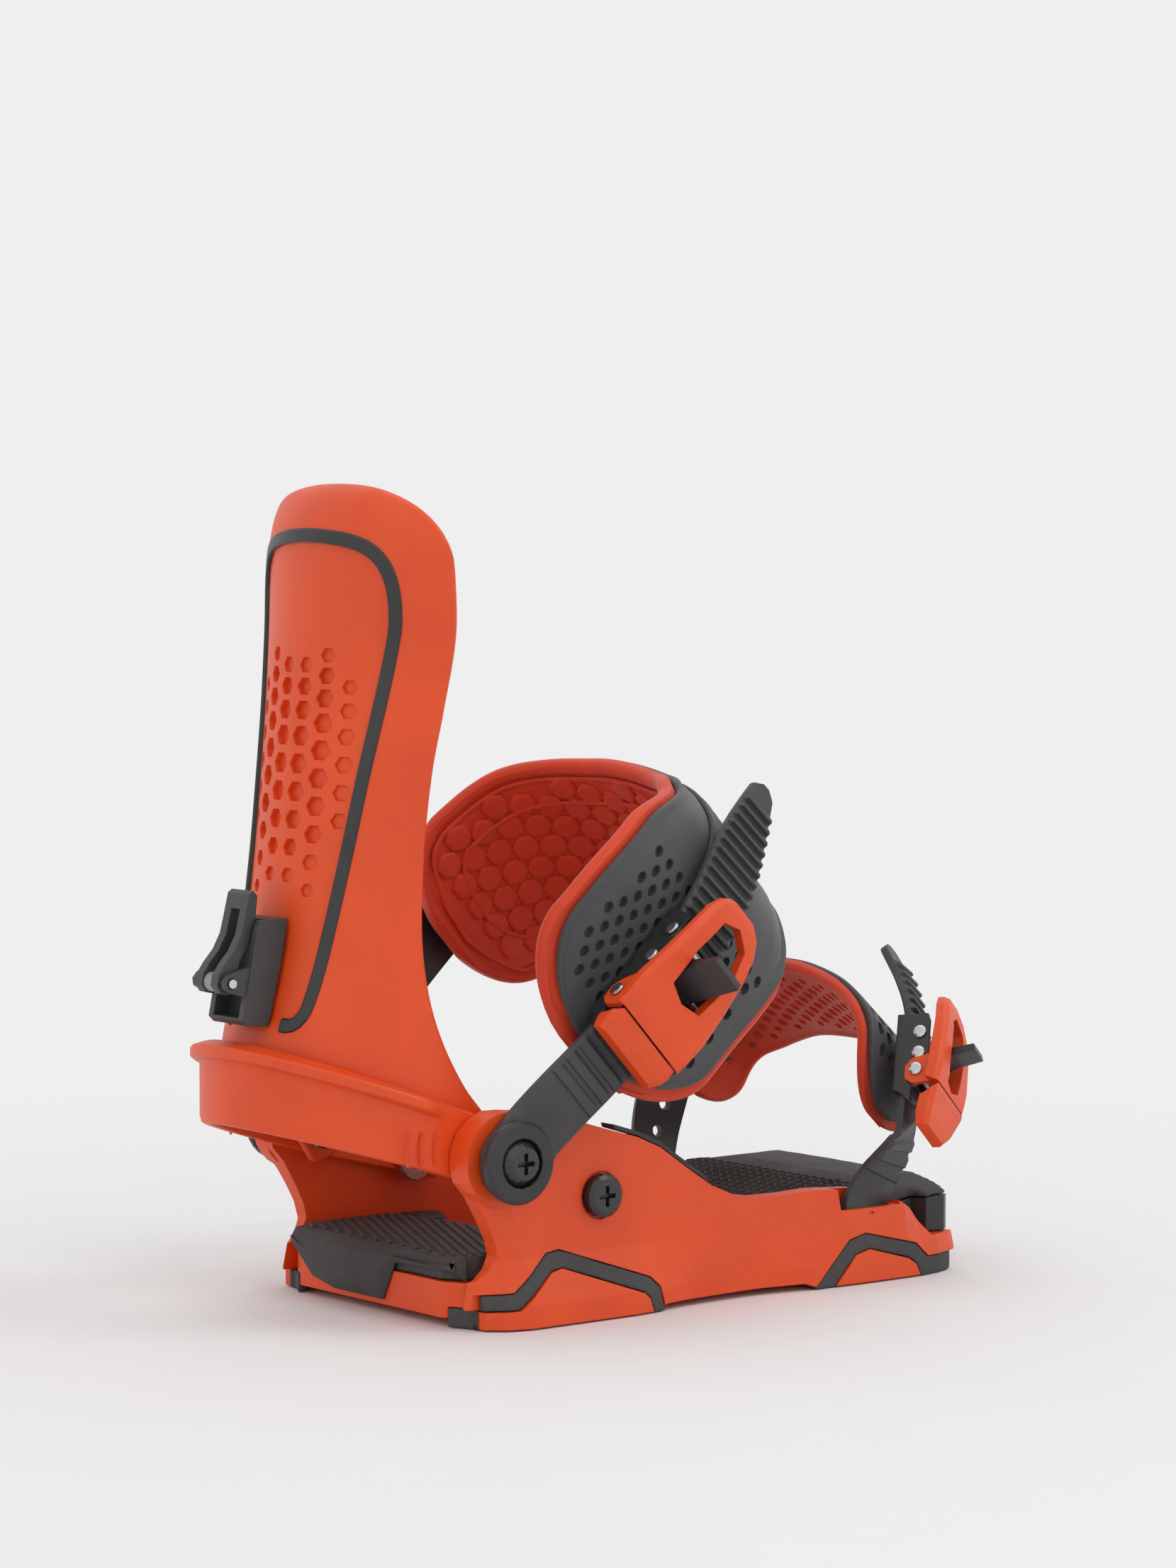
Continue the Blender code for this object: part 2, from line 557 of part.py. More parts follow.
def build_heelcup():
    """The hoop: a band with a flange round its top, and two arms between the base walls."""
    rings = []
    for cx, cy, nx, ny in hoop_path():
        outer = Vector((cx + nx * HOOP_OUTER_R, cy + ny * HOOP_OUTER_R, 0))
        inner = Vector((cx + nx * (HOOP_OUTER_R - HOOP_WALL), cy + ny * (HOOP_OUTER_R - HOOP_WALL), 0))
        mid, half = hoop_mid(outer.x)
        reach = HOOP_OUTER_R + HOOP_FLANGE * knots(-outer.x, [(-PIVOT_X + PIVOT_BOSS_R + 1, 0.0),
                                                              (116, 1.0)])
        proud = Vector((cx + nx * reach, cy + ny * reach, 0))
        crown = outer.lerp(inner, 0.4)
        low = outer.lerp(inner, 0.35)
        rings.append([(outer.x, outer.y, mid - half + 3), (outer.x, outer.y, mid + half - 5.2),
                      (proud.x, proud.y, mid + half - 4.0), (proud.x, proud.y, mid + half - 0.8),
                      (crown.x, crown.y, mid + half + 0.8), (inner.x, inner.y, mid + half),
                      (inner.x, inner.y, mid - half), (low.x, low.y, mid - half)])
    cup = loft("heelcup", rings, "orange")
    for side, tag in ((1, "near"), (-1, "far")):
        for name, x, z in (("cup_pivot_", PIVOT_X, PIVOT_Z), ("cup_side_", SIDE_BOLT_X, SIDE_BOLT_Z)):
            boolean(cup, rod(name + tag, (x, -side * 44, z), (x, -side * 60, z), BOLT_R + GAP, sides=16))


# ---- highback -------------------------------------------------------------------------
def back_radius(z):
    """Outer radius of the highback's cross-section."""
    return knots(z, [(98, 48.7), (125, 49.6), (157, 51), (190, 53.5), (211, 56), (237, 62), (277, 66)])


def back_rear(z):
    """Where the highback's rearmost line lies."""
    return line_knots(z, [(40, -155.4), (80, -155.0), (90, -153.6), (105, -150.4), (125, -145.2),
                          (157, -139.9),
                          (190, -135.8), (211, -133.4), (237, -130.6), (277, -127.6), (300, -126.6)])


def back_edge(z):
    """Distance round the shell from its middle line to its side edge."""
    return knots(z, [(40, 101), (58, 103.5), (70, 99), (82, 88), (104, 72), (126, 61.5), (160, 57.6),
                     (191, 57.4),
                     (211, 59.5), (237, 63), (262, 59.5), (277, 50.5)])


def back_point(q, z, inset):
    """A point of the shell: q round from the middle line, z up, inset from the skin; near side negative."""
    radius = back_radius(z)
    centre = back_rear(z) + radius
    side = -1.0 if q < 0 else 1.0
    quarter = radius * math.pi / 2
    reach = abs(q)
    if reach <= quarter:
        angle = reach / radius
        return Vector((centre - (radius - inset) * math.cos(angle),
                       side * (radius - inset) * math.sin(angle), z))
    return Vector((centre + (reach - quarter), side * (radius - inset), z))


def back_low(share):
    """Lower edge height for a share of the way from the middle line to the side edge."""
    return knots(share, [(0.0, 73.5), (0.52, 71.0), (0.78, 56.0), (0.90, 45.6), (0.95, 46.6), (1.0, 53.5)])


def back_high(share):
    """Upper edge height for a share of the way from the middle line to the side edge."""
    return BACK_TOP_Z - 1.6 * share ** 2 - 15.0 * share ** 5


def build_highback(axis):
    """Highback shell with its pivot ears, and the inlaid strip."""
    columns = 20
    rows = 14
    grids = []
    for inset in (0.0, BACK_WALL):
        grid = []
        for i in range(rows + 1):
            row = []
            for j in range(columns + 1):
                u = -1.0 + 2.0 * j / columns
                low, high = back_low(abs(u)), back_high(abs(u))
                z = low + (high - low) * i / rows
                row.append(back_point(u * back_edge(z), z, inset))
            grid.append(row)
        grids.append(grid)
    shell = closed_sheet("highback_shell", grids[0], grids[1], "orange")
    for side, tag in ((1, "near"), (-1, "far")):
        boolean(shell, rod("back_hole_" + tag, (PIVOT_X, -side * 40, PIVOT_Z),
                           (PIVOT_X, -side * 56, PIVOT_Z),
                           BOLT_R + GAP, sides=16))
    groove = inlay("inlay_groove", -4.0, 1.9, GAP)
    boolean(shell, groove)
    hang(shell, axis)
    strip = inlay("highback_inlay", -INLAY_PROUD, 1.6, 0.0, "black")
    hang(strip, axis)
    return shell


def closed_sheet(name, outer, inner, finish=None):
    """A closed body between two matching grids of points."""
    bm = bmesh.new()
    top = [[bm.verts.new(p) for p in row] for row in outer]
    base = [[bm.verts.new(p) for p in row] for row in inner]
    rows, columns = len(top) - 1, len(top[0]) - 1
    for i in range(rows):
        for j in range(columns):
            bm.faces.new((top[i][j], top[i][j + 1], top[i + 1][j + 1], top[i + 1][j]))
            bm.faces.new((base[i][j], base[i + 1][j], base[i + 1][j + 1], base[i][j + 1]))
    for i in range(rows):
        bm.faces.new((top[i][0], top[i + 1][0], base[i + 1][0], base[i][0]))
        bm.faces.new((top[i][columns], base[i][columns], base[i + 1][columns], top[i + 1][columns]))
    for j in range(columns):
        bm.faces.new((top[0][j], base[0][j], base[0][j + 1], top[0][j + 1]))
        bm.faces.new((top[rows][j], top[rows][j + 1], base[rows][j + 1], base[rows][j]))
    bmesh.ops.triangulate(bm, faces=[face for face in bm.faces if not flat(face)])
    return new_object(name, bm, finish)


def inlay_centre():
    """The strip's centre line as (q, z) points, from its near foot over the top to its far foot."""
    near = [(-15.0, 104.4), (-19.0, 104.4), (-22.5, 107.0), (-24.5, 113.0), (-27.5, 140.0), (-33.5, 187.0),
            (-40.2, 228.0), (-41.5, 243.0), (-39.0, 256.0), (-32.0, 264.6), (-20.0, 268.8), (0.0, 270.4)]
    return near + [(-q, z) for q, z in reversed(near[:-1])]


def inlay(name, proud, depth, grow, finish=None):
    """The strip laid along its centre line, from proud of the skin down to a depth."""
    points = curve_through([(q, 0.0, z) for q, z in inlay_centre()], 38)
    half = INLAY_WIDTH / 2 + grow
    rings = []
    for k, point in enumerate(points):
        ahead = points[min(k + 1, len(points) - 1)] - points[max(k - 1, 0)]
        ahead.normalize()
        across = Vector((ahead.z, 0.0, -ahead.x))
        end = grow * ahead * (1 if k == len(points) - 1 else -1 if k == 0 else 0)
        left = point + across * half + end
        right = point - across * half + end
        rings.append([back_point(left.x, left.z, proud), back_point(right.x, right.z, proud),
                      back_point(right.x, right.z, depth), back_point(left.x, left.z, depth)])
    return loft(name, rings, finish)


def build_lean_adjuster(block_axis, lever_axis):
    """The lean block on the highback's back, its lever, its pin and its roller."""
    half, wall = LEAN_HALF, LEAN_CHEEK
    low, high = 104.4, 139.8
    front_low, front_high = back_rear(low) + 6, back_rear(high) + 6
    rear_low, rear_high = LEAN_REAR
    side_view = [(front_low, low - 1.2), (rear_low + 2.0, low), (rear_low, low + 2.0),
                 (rear_high, high - 2.0),
                 (rear_high + 1.4, high), (front_high, high + 0.6)]
    block = slab("lean_block", side_view, -half, half, "charcoal", axis="Y")
    pin_x, pin_z = LEAN_PIN
    for sign, side in ((-1, "near"), (1, "far")):
        inner, outer = sorted((sign * (LEAN_LEVER_HALF + GAP), sign * (half - 0.6)))
        lug = [(rear_low + 4, pin_z - 5.6), (pin_x, pin_z - 3.4), (pin_x - 2.8, pin_z - 1.6),
               (pin_x - 3.2, pin_z + 0.8),
               (pin_x - 1.4, pin_z + 3.0), (rear_low + 6, pin_z + 6.0)]
        absorb(block, slab("block_lug_" + side, lug, inner, outer, axis="Y"))
    cavity = [(pin_x - 30, low + 2.6), (rear_low + 6.6, low + 2.6), (rear_high + 5.4, high - 3.0),
              (rear_high + 5.4, 200),
              (pin_x - 30, 200)]
    boolean(block, slab("block_cavity", cavity, -half + wall, half - wall, axis="Y"))
    boolean(block, closed_back_cutter("block_seat", LEAN_CLEARANCE))
    boolean(block, rod("lean_pin_hole", (pin_x, -20, pin_z), (pin_x, 20, pin_z), LEAN_PIN_R + GAP))
    hang(block, block_axis)
    pin = rod("lean_pin", (pin_x, -half - 0.2, pin_z), (pin_x, half + 0.2, pin_z), LEAN_PIN_R, "steel")
    hang(pin, block_axis)
    roller = rod("lean_roller", (pin_x, -2.4, pin_z), (pin_x, 2.4, pin_z), 3.4, "grey")
    boolean(roller, rod("roller_bore", (pin_x, -9, pin_z), (pin_x, 9, pin_z), LEAN_PIN_R + GAP))
    hang(roller, lever_axis)
    hang(build_lean_lever(pin_x, pin_z), lever_axis)


def build_lean_lever(pin_x, pin_z):
    """The looped fork lever, an S in side view."""
    outline = [(0.6, -4.2), (-2.4, -3.4), (-4.0, -0.8), (-3.4, 2.8), (-0.8, 6.4), (3.0, 10.6), (6.0, 16.0),
               (7.8, 23.0), (9.4, 29.6), (11.0, 30.8), (12.6, 29.0), (11.8, 22.0), (9.8, 15.0), (7.4, 10.4),
               (5.2, 6.6), (4.2, 1.0), (3.2, -2.6)]
    lever = slab("lean_lever", [(pin_x + x, pin_z + z) for x, z in outline], -LEAN_LEVER_HALF,
                 LEAN_LEVER_HALF,
                 "charcoal", axis="Y")
    boolean(lever, box("lever_fork", (pin_x - 20, -2.7, pin_z - 12), (pin_x + 20, 2.7, pin_z + 24.5)))
    boolean(lever, rod("lever_pin_hole", (pin_x, -20, pin_z), (pin_x, 20, pin_z), LEAN_PIN_R + GAP))
    return lever


def closed_back_cutter(name, clearance):
    """The highback's own volume plus its clearance, used to shape what sits on it."""
    rows = []
    for i in range(15):
        z = 88.0 + 6.0 * i
        rows.append([back_point(-40 + 4.0 * j, z, -clearance) for j in range(21)])
    inner = [[Vector((point.x + 30.0, point.y * 0.5, point.z)) for point in row] for row in rows]
    return closed_sheet(name, rows, inner)


# ---- straps ---------------------------------------------------------------------------
class Local:
    """A frame with its own directions: along, across and out."""

    def __init__(self, origin, along, out):
        self.origin = Vector(origin)
        self.along = Vector(along).normalized()
        self.out = (Vector(out) - Vector(out).dot(self.along) * self.along).normalized()
        self.across = self.out.cross(self.along)

    def point(self, a, w, o):
        """A point given along, across and out."""
        return self.origin + a * self.along + w * self.across + o * self.out


def strap_frame(angle):
    """Along and up-rear directions of a strap's plane."""
    tilt = math.radians(angle)
    return Vector((math.cos(tilt), 0, math.sin(tilt))), Vector((-math.sin(tilt), 0, math.cos(tilt)))


def arch_rows(origin, angle, path, half_width, centre, layers, steps, across_steps, trim=(0.0, 0.0),
              draw=0.0):
    """Grids of a strap's arch: one grid for each layer's distance from the inner face."""
    along, up = strap_frame(angle)
    dense = curve_through([(a, y, 0.0) for a, y in path], 241)
    spacing = sum((q - p).length for p, q in zip(dense, dense[1:])) / 240
    first, last = round(trim[0] / spacing), 240 - round(trim[1] / spacing)
    shared = [round(240 * k / steps) for k in range(steps + 1)]
    places = [first] + [place for place in shared if first + 3 < place < last - 3] + [last]
    grids = [[] for _ in layers]
    for place in places:
        point = dense[place]
        ahead = (dense[min(240, place + 1)] - dense[max(0, place - 1)]).normalized()
        out = Vector((ahead.y, -ahead.x, 0.0))
        half, mid = half_width((place - first) / (last - first)), centre(place / 240)
        for grid, offset in zip(grids, layers):
            spot = point + out * offset
            row = []
            for m in range(across_steps + 1):
                w = mid + half * (-1.0 + 2.0 * m / across_steps)
                y = spot.y * (1 - draw * (DRAW_FROM - w))
                row.append(Vector(origin) + along * spot.x + up * w + Vector((0, y, 0)))
            grid.append(row)
    return grids


ANKLE_PATH = [(47, -57.2), (66, -58.5), (90, -58.6), (116, -56.5), (138, -48), (153, -27), (158, 0),
              (153, 27),
              (138, 48), (116, 56.5), (91, 58.6)]


def ankle_half(inset, end):
    """Half-width of an ankle layer along its arch, inset from the liner's edge."""
    def half(share):
        base = line_knots(share, [(0.0, 47), (0.30, 47), (0.42, 38.5), (0.52, 33), (0.64, 35), (0.80, 40.5),
                                  (1.0, 41)])
        near = min(1.0, share / 0.125)
        far = min(1.0, (1.0 - share) / 0.115)
        rounding = math.sqrt(max(0.0, 1 - (1 - near) ** 2)) * math.sqrt(max(0.0, 1 - (1 - far) ** 2))
        return max(end, (base - inset) * rounding)
    return half


def ankle_centre(share):
    """Where the middle of the ankle pad lies across the strap's plane."""
    return knots(share, [(0.0, 3.0), (0.15, -0.5), (0.5, -8.5), (0.85, -2.5), (1.0, -2.0)])


def build_ankle_pad(axis):
    """Liner, shell and outer frame of the ankle strap."""
    origin = (PIVOT_X, 0, PIVOT_Z)
    outer = LINER_THICK + GAP + SHELL_THICK
    layers = [("ankle_liner", 0.0, LINER_THICK, 0.0, 9.0, "orange", 8),
              ("ankle_shell", LINER_THICK + GAP, outer, 7.0, 7.0, "charcoal", 6)]
    for name, low, high, inset, end, finish, across in layers:
        grids = arch_rows(origin, ANKLE_ANGLE, ANKLE_PATH, ankle_half(inset, end), ankle_centre,
                          (high, low), 24,
                          across, (inset, inset))
        hang(closed_sheet(name, grids[0], grids[1], finish), axis)

    def half(share):
        return knots(share, [(0.0, 7.0), (0.3, 11.5), (0.5, 13.0), (0.8, 13.0), (1.0, 9.0)])

    low = outer + GAP
    grids = arch_rows(origin, ANKLE_ANGLE, ANKLE_PATH, half, lambda s: 0.0, (low + EXO_THICK, low), 24, 2,
                      (27, 9))
    hang(closed_sheet("ankle_exo_frame", grids[0], grids[1], "black"), axis)


def ribbon(name, points, outs, halves, low, high, finish):
    """A strap: rectangular section along points, with its own outward directions and heights."""
    rings = []
    for k, point in enumerate(points):
        ahead = points[min(k + 1, len(points) - 1)] - points[max(k - 1, 0)]
        frame = Local(point, ahead, outs[k])
        half, top, base = halves[k], high[k], low[k]
        edge = min(0.8, (top - base) * 0.3)
        rings.append([frame.point(0, -half, base), frame.point(0, half, base),
                      frame.point(0, half, top - edge),
                      frame.point(0, half - edge, top), frame.point(0, -half + edge, top),
                      frame.point(0, -half, top - edge)])
    return loft(name, rings, finish)


def ladder_stations(path, count, width, thick, teeth_from, pitch, tooth, end_round, taper):
    """Points, half-widths and outer heights of a toothed ladder strap."""
    points = curve_through(path, count)
    distance = 0.0
    halves, tops = [], []
    for k, point in enumerate(points):
        if k:
            distance += (point - points[k - 1]).length
        total = sum((b - a).length for a, b in zip(points, points[1:]))
        half = width / 2
        if distance < end_round:
            half *= math.sqrt(max(0.05, 1 - (1 - distance / end_round) ** 2))
        left = total - distance
        if left < taper:
            half *= 0.42 + 0.58 * math.sin(left / taper * math.pi / 2)
        phase = ((distance - teeth_from) / pitch) % 1.0
        toothed = distance > teeth_from and left > 8.0
        tops.append(thick + (tooth * (1.0 - phase) if toothed else 0.0))
        halves.append(half)
    return points, halves, tops


ANKLE_LADDER = [(-12.3, 66.7), (0.0, 66.7), (14.0, 66.8), (28.0, 68.8), (42.0, 71.6), (56.0, 73.3),
                (78.0, 73.3),
                (102.0, 73.3), (118.0, 71.8), (136.0, 67.2), (152.0, 61.8), (173.0, 55.0)]


def ankle_point(a, w, y):
    """A point in the near ankle strap's own directions."""
    along, up = strap_frame(ANKLE_ANGLE)
    return Vector((PIVOT_X, -y, PIVOT_Z)) + along * a + up * w


def build_ankle_straps(axis):
    """Near ladder and far connector strap."""
    lift = [(-20, 0.0), (102, 0.0), (173, 5.5)]
    path = [ankle_point(a, line_knots(a, lift), y) for a, y in ANKLE_LADDER]
    points, halves, tops = ladder_stations(path, 62, ANKLE_LADDER_WIDTH, 1.3, 52.0, 6.2, 1.5, 12.5, 46.0)
    outs = [Vector((0, -1, 0))] * len(points)
    for k, point in enumerate(points):
        tops[k] += line_knots(k, [(0, 0.9), (8, 0.9), (12, 0.0)])
    ladder = ribbon("ankle_ladder", points, outs, halves, [-1.5] * len(points), tops, "charcoal")
    boolean(ladder, rod("ladder_hole", (PIVOT_X, -60, PIVOT_Z), (PIVOT_X, -80, PIVOT_Z), BOLT_R + GAP,
                        sides=16))
    hang(ladder, axis)
    far = [(-12.3, 66.9), (0.0, 66.9), (16.0, 67.0), (45.0, 69.4), (80.0, 71.4), (104.0, 71.6),
           (112.0, 71.2)]
    path = [ankle_point(a, 0.0, -y) for a, y in far]
    points = curve_through(path, 26)
    count = len(points)
    halves = []
    run = 0.0
    for k, point in enumerate(points):
        if k:
            run += (point - points[k - 1]).length
        share = math.sqrt(max(0.05, 1 - (1 - min(1.0, run / 12.5)) ** 2))
        halves.append(12.0 * share)
    strap = ribbon("ankle_far_strap", points, [Vector((0, 1, 0))] * count, halves, [-1.8] * count,
                   [1.6] * count, "black")
    boolean(strap, rod("far_strap_hole", (PIVOT_X, 60, PIVOT_Z), (PIVOT_X, 80, PIVOT_Z), BOLT_R + GAP,
                       sides=16))
    hang(strap, axis)
    for side, tag in ((1, "near"), (-1, "far")):
        ring = turned("pivot_washer_" + tag, [(13.4, 69.6), (14.3, 70.4), (14.3, 72.2), (13.2, 73.6),
                                              (9.4, 73.6)],
                      (PIVOT_X, 0, PIVOT_Z), (0, -side, 0), "black", sides=28)
        boolean(ring, rod("washer_bore_" + tag, (PIVOT_X, -side * 60, PIVOT_Z),
                          (PIVOT_X, -side * 80, PIVOT_Z),
                          BOLT_R + GAP, sides=16))
        boolean(ring, rod("washer_sink_" + tag, (PIVOT_X, -side * 70.6, PIVOT_Z),
                          (PIVOT_X, -side * 80, PIVOT_Z),
                          8.6, sides=16))
        hang(ring, axis)


class Buckle:
    """A ratchet buckle: frame, lever, release lever and three riveted pins."""

    def __init__(self, tag, frame, size, pins, axis, lever_axis, release_axis):
        self.tag = tag
        self.frame = frame
        self.size = size
        self.pins = pins
        self.axes = (axis, lever_axis, release_axis)

    def solid(self, name, outline, low, high, finish=None):
        """An outline in (along, across), from one height to another."""
        rings = [[self.frame.point(a, w, level) for a, w in outline] for level in (low, high)]
        return loft(name, rings, finish)

    def side_solid(self, name, outline, low, high, finish=None):
        """An outline in (along, out), across the buckle."""
        rings = [[self.frame.point(a, w, o) for a, o in outline] for w in (low, high)]
        return loft(name, rings, finish)

    def bar(self, name, a, o, half, radius, finish=None, sides=16):
        """A round bar across the buckle."""
        return rod(name, self.frame.point(a, -half, o), self.frame.point(a, half, o), radius, finish, sides)

    def build(self):
        """Build every piece of the buckle."""
        self.build_frame()
        self.build_nose()
        self.build_pins()
        self.build_lever()
        self.build_release()

    def build_frame(self):
        """The U-shaped frame that the ladder runs through."""
        s = self.size
        wall, half = s["wall"], s["half"]
        body = self.side_solid(self.tag + "_buckle_frame", s["frame_side"], -half - wall, half + wall,
                               "black")
        channel = [(-40, s["base"]), (60, s["base"]), (60, 30), (-40, 30)]
        boolean(body, self.side_solid(self.tag + "_frame_channel", channel, -half, half))
        for index, a in enumerate(self.pins):
            boolean(body, self.bar("%s_frame_bore_%d" % (self.tag, index), a, 0.0, half + 9,
                                   s["pin_r"] + GAP))
        hang(body, self.axes[0])

    def build_pins(self):
        """Three pins whose riveted heads show on both sides."""
        s = self.size
        for index, (name, a) in enumerate(zip(("lever_pin", "release_pin", "stop_pin"), self.pins)):
            reach = s["half"] + s["wall"] + (s["ear"] + 2 * GAP if index == 0 else GAP)
            head = s["pin_r"] * 1.55
            base = self.frame.point(a, -reach - 0.9, 0.0)
            length = 2 * (reach + 0.9)
            profile = [(head * 0.7, 0), (head, 0.3), (head, 0.9), (s["pin_r"], 0.9),
                       (s["pin_r"], length - 0.9),
                       (head, length - 0.9), (head, length - 0.3), (head * 0.7, length)]
            pin = turned("%s_%s" % (self.tag, name), profile, base, self.frame.across, "steel", sides=10)
            hang(pin, self.axes[0])

    def plate(self, name, stations, slant):
        """A plate with chamfered edges through stations; the first one leans back by slant at its top."""
        rings = []
        for index, (a, half, low, high) in enumerate(stations):
            top = a - slant if index == 0 else a
            rings.append([self.frame.point(a, -half, low), self.frame.point(a, half, low),
                          self.frame.point(top, half, high - 1.6), self.frame.point(top, half - 2.2, high),
                          self.frame.point(top, -half + 2.2, high), self.frame.point(top, -half,
                                                                                     high - 1.6)])
        return loft(name, rings, "orange")

    def build_nose(self):
        """The fixed nose below the lever, hollowed round the lever pin so that the lever clears it."""
        s = self.size
        nose = self.plate(self.tag + "_buckle_nose", s["nose"], 0.0)
        boolean(nose, self.bar(self.tag + "_nose_hollow", 0.0, 0.0, 40, s["nose_r"], sides=40))
        hang(nose, self.axes[0])

    def build_lever(self):
        """The lever: a plate with a window, and two ears that ride outside the frame."""
        s = self.size
        lever = self.plate(self.tag + "_buckle_lever", s["lever"], s["slant"])
        boolean(lever, self.solid(self.tag + "_lever_window", s["window"], -20, 40))
        inner = s["half"] + s["wall"] + GAP
        outer = inner + s["ear"]
        for sign, side in ((1, "a"), (-1, "b")):
            low, high = sorted((sign * inner, sign * outer))
            ear = self.side_solid("%s_ear_%s" % (self.tag, side), s["ear_side"], low, high)
            absorb(lever, ear)
        boolean(lever, self.bar(self.tag + "_lever_bore", 0.0, 0.0, 40, s["pin_r"] + GAP))
        hang(lever, self.axes[1])

    def build_release(self):
        """The release lever: a tab that stands out through the lever's window."""
        s = self.size
        tab = self.side_solid(self.tag + "_release_lever", s["release_side"], -s["release_half"],
                              s["release_half"],
                              "black")
        boolean(tab, self.bar(self.tag + "_release_bore", self.pins[1], 0.0, 40, s["pin_r"] + GAP))
        hang(tab, self.axes[2])


ANKLE_BUCKLE = {
    "half": 13.1, "wall": 1.6, "base": -8.1, "pin_r": 1.7, "ear": 2.0,
    "frame_side": [(-9, -9.4), (40, -9.4), (40, -4), (38, 3.4), (33, 4.0), (2, 4.0), (-3.6, 3.0),
                   (-5.0, 0.0),
                   (-5.6, -2.4), (-11.2, -2.4), (-11.6, 0.3), (-14.2, -0.4), (-14.2, -3.5), (-9.6, -6.4)],
    "nose": [(-15.5, 15.5, -0.4, 4.6), (-12, 17.4, 0.6, 6.6), (-4, 18.6, 4.6, 9.4)],
    "nose_r": 10.7,
    "slant": 1.8,
    "lever": [(-4, 18.6, 4.4, 8.6), (-2, 18.7, 4.8, 9.7), (8, 19.0, 6.0, 10.6),
              (22, 17.4, 7.2, 11.4), (34, 15.8, 7.4, 11.4), (44, 14.0, 6.4, 10.4), (50, 11.0, 5.2, 9.0),
              (53, 7.5, 4.4, 7.8)],
    "window": [(13, -8.6), (30, -10.6), (42, -8.0), (46.5, -1.0), (43, 6.2), (28, 8.6), (13, 8.0),
               (10.5, 0.0)],
    "ear_side": [(-6.0, 5.0), (-6.2, -1.4), (-3.6, -4.4), (1.5, -4.6), (5.0, -2.0), (11, 6.4), (6, 8.4),
                 (-3, 6.6)],
    "release_side": [(15.4, -2.0), (20.0, -2.8), (22.6, -0.4), (21.4, 3.4), (24.6, 10), (27.6, 21.5),
                     (25.0, 22.4),
                     (20.4, 12.0), (16.6, 4.0), (14.8, 1.6)],
    "release_half": 7.2,
}
TOE_BUCKLE = {
    "half": 10.6, "wall": 1.5, "base": -7.7, "pin_r": 1.6, "ear": 1.8,
    "frame_side": [(-7.0, -8.9), (23, -8.9), (23, 2.6), (20.5, 3.4), (0, 3.6), (-3.8, 2.6), (-5.0, 0.0),
                   (-5.6, -2.2), (-11.4, -2.2), (-11.8, 2.0), (-13.4, 1.5), (-13.4, -0.4), (-8.4, -5.6), (-7.2, -7.6)],
    "nose": [(-20, 11.0, 0.2, 4.6), (-16, 14.6, 1.2, 6.4), (-8, 17.4, 3.8, 9.0), (-4, 17.4, 4.4, 9.6)],
    "nose_r": 11.2,
    "slant": 1.4,
    "lever": [(-4, 17.4, 4.4, 9.2), (-2, 17.4, 4.8, 9.9), (2, 17.4, 5.4, 10.4),
              (12, 16.0, 6.0, 10.8), (20, 14.0, 6.0, 10.6), (27, 11.0, 5.0, 9.4), (31.6, 7.0, 4.2, 8.0)],
    "window": [(-2.0, -6.4), (10, -8.0), (21.5, -6.2), (25.6, 0.0), (22, 5.6), (10, 7.0), (-2.0, 6.2),
               (-4.0, 0.0)],
    "ear_side": [(-5.0, 4.8), (-5.4, -1.0), (-3.4, -4.0), (1.2, -4.2), (4.2, -1.8), (6.4, 6.0), (3, 7.6),
                 (-4, 5.6)],
    "release_side": [(4.2, -1.8), (9.4, -2.0), (11.0, 0.0), (10.0, 3.0), (11.6, 9.0), (13.0, 18.4),
                     (10.6, 19.0),
                     (8.4, 10.0), (5.8, 3.4), (4.4, 1.0)],
    "release_half": 5.4,
}


# ---- toe strap ------------------------------------------------------------------------
TOE_LADDER = [(74.4, -61.0, 21.0), (74.6, -61.0, 24.0), (77.0, -62.4, 32.0), (82.2, -66.6, 43.0),
              (85.8, -70.9, 53.0), (87.4, -73.2, 62.0), (93.9, -67.7, 76.2), (100.4, -62.2, 90.4),
              (105.0, -51.6, 104.6), (107.0, -38.4, 118.0)]
TOE_OUT = (0.51, -0.855, 0.096)    # the way the toe buckle faces, over the toes' outer corner
TOE_PATH = [(30, -60.6), (42, -61.4), (54, -56.8), (63.5, -40), (68, -20), (68.6, 0), (68, 20),
            (63.5, 40), (54, 55.5),
            (42, 61.5), (33, 61)]


def toe_half(inset, end):
    """Half-width of a toe layer along its arch."""
    def half(share):
        base = line_knots(share, [(0.0, 20), (0.14, 22), (0.4, 24.5), (0.75, 25.5), (1.0, 22)])
        near = min(1.0, share / 0.08)
        far = min(1.0, (1.0 - share) / 0.10)
        rounding = math.sqrt(max(0.0, 1 - (1 - near) ** 2)) * math.sqrt(max(0.0, 1 - (1 - far) ** 2))
        return max(end, (base - inset) * rounding)
    return half


def toe_centre(share):
    """Where the middle of the toe strap lies across its plane."""
    return knots(share, [(0.0, 10.0), (0.18, 21.0), (0.5, 23.0), (0.8, 17.0), (1.0, 6.0)])


def build_toe_pad(axis):
    """Liner and shell of the toe strap."""
    origin = (TOE_ANCHOR_X, 0, TOE_PLANE_Z)
    for name, low, high, inset, finish in (("toe_liner", 0.0, TOE_LINER_THICK, 0.0, "orange"),
                                           ("toe_shell", TOE_LINER_THICK + GAP,
                                            TOE_LINER_THICK + GAP + TOE_SHELL_THICK, 3.2, "charcoal")):
        grids = arch_rows(origin, TOE_ANGLE, TOE_PATH, toe_half(inset, 5.0), toe_centre, (high, low), 20, 4,
                          (inset, inset), TOE_DRAW)
        hang(closed_sheet(name, grids[0], grids[1], finish), axis)


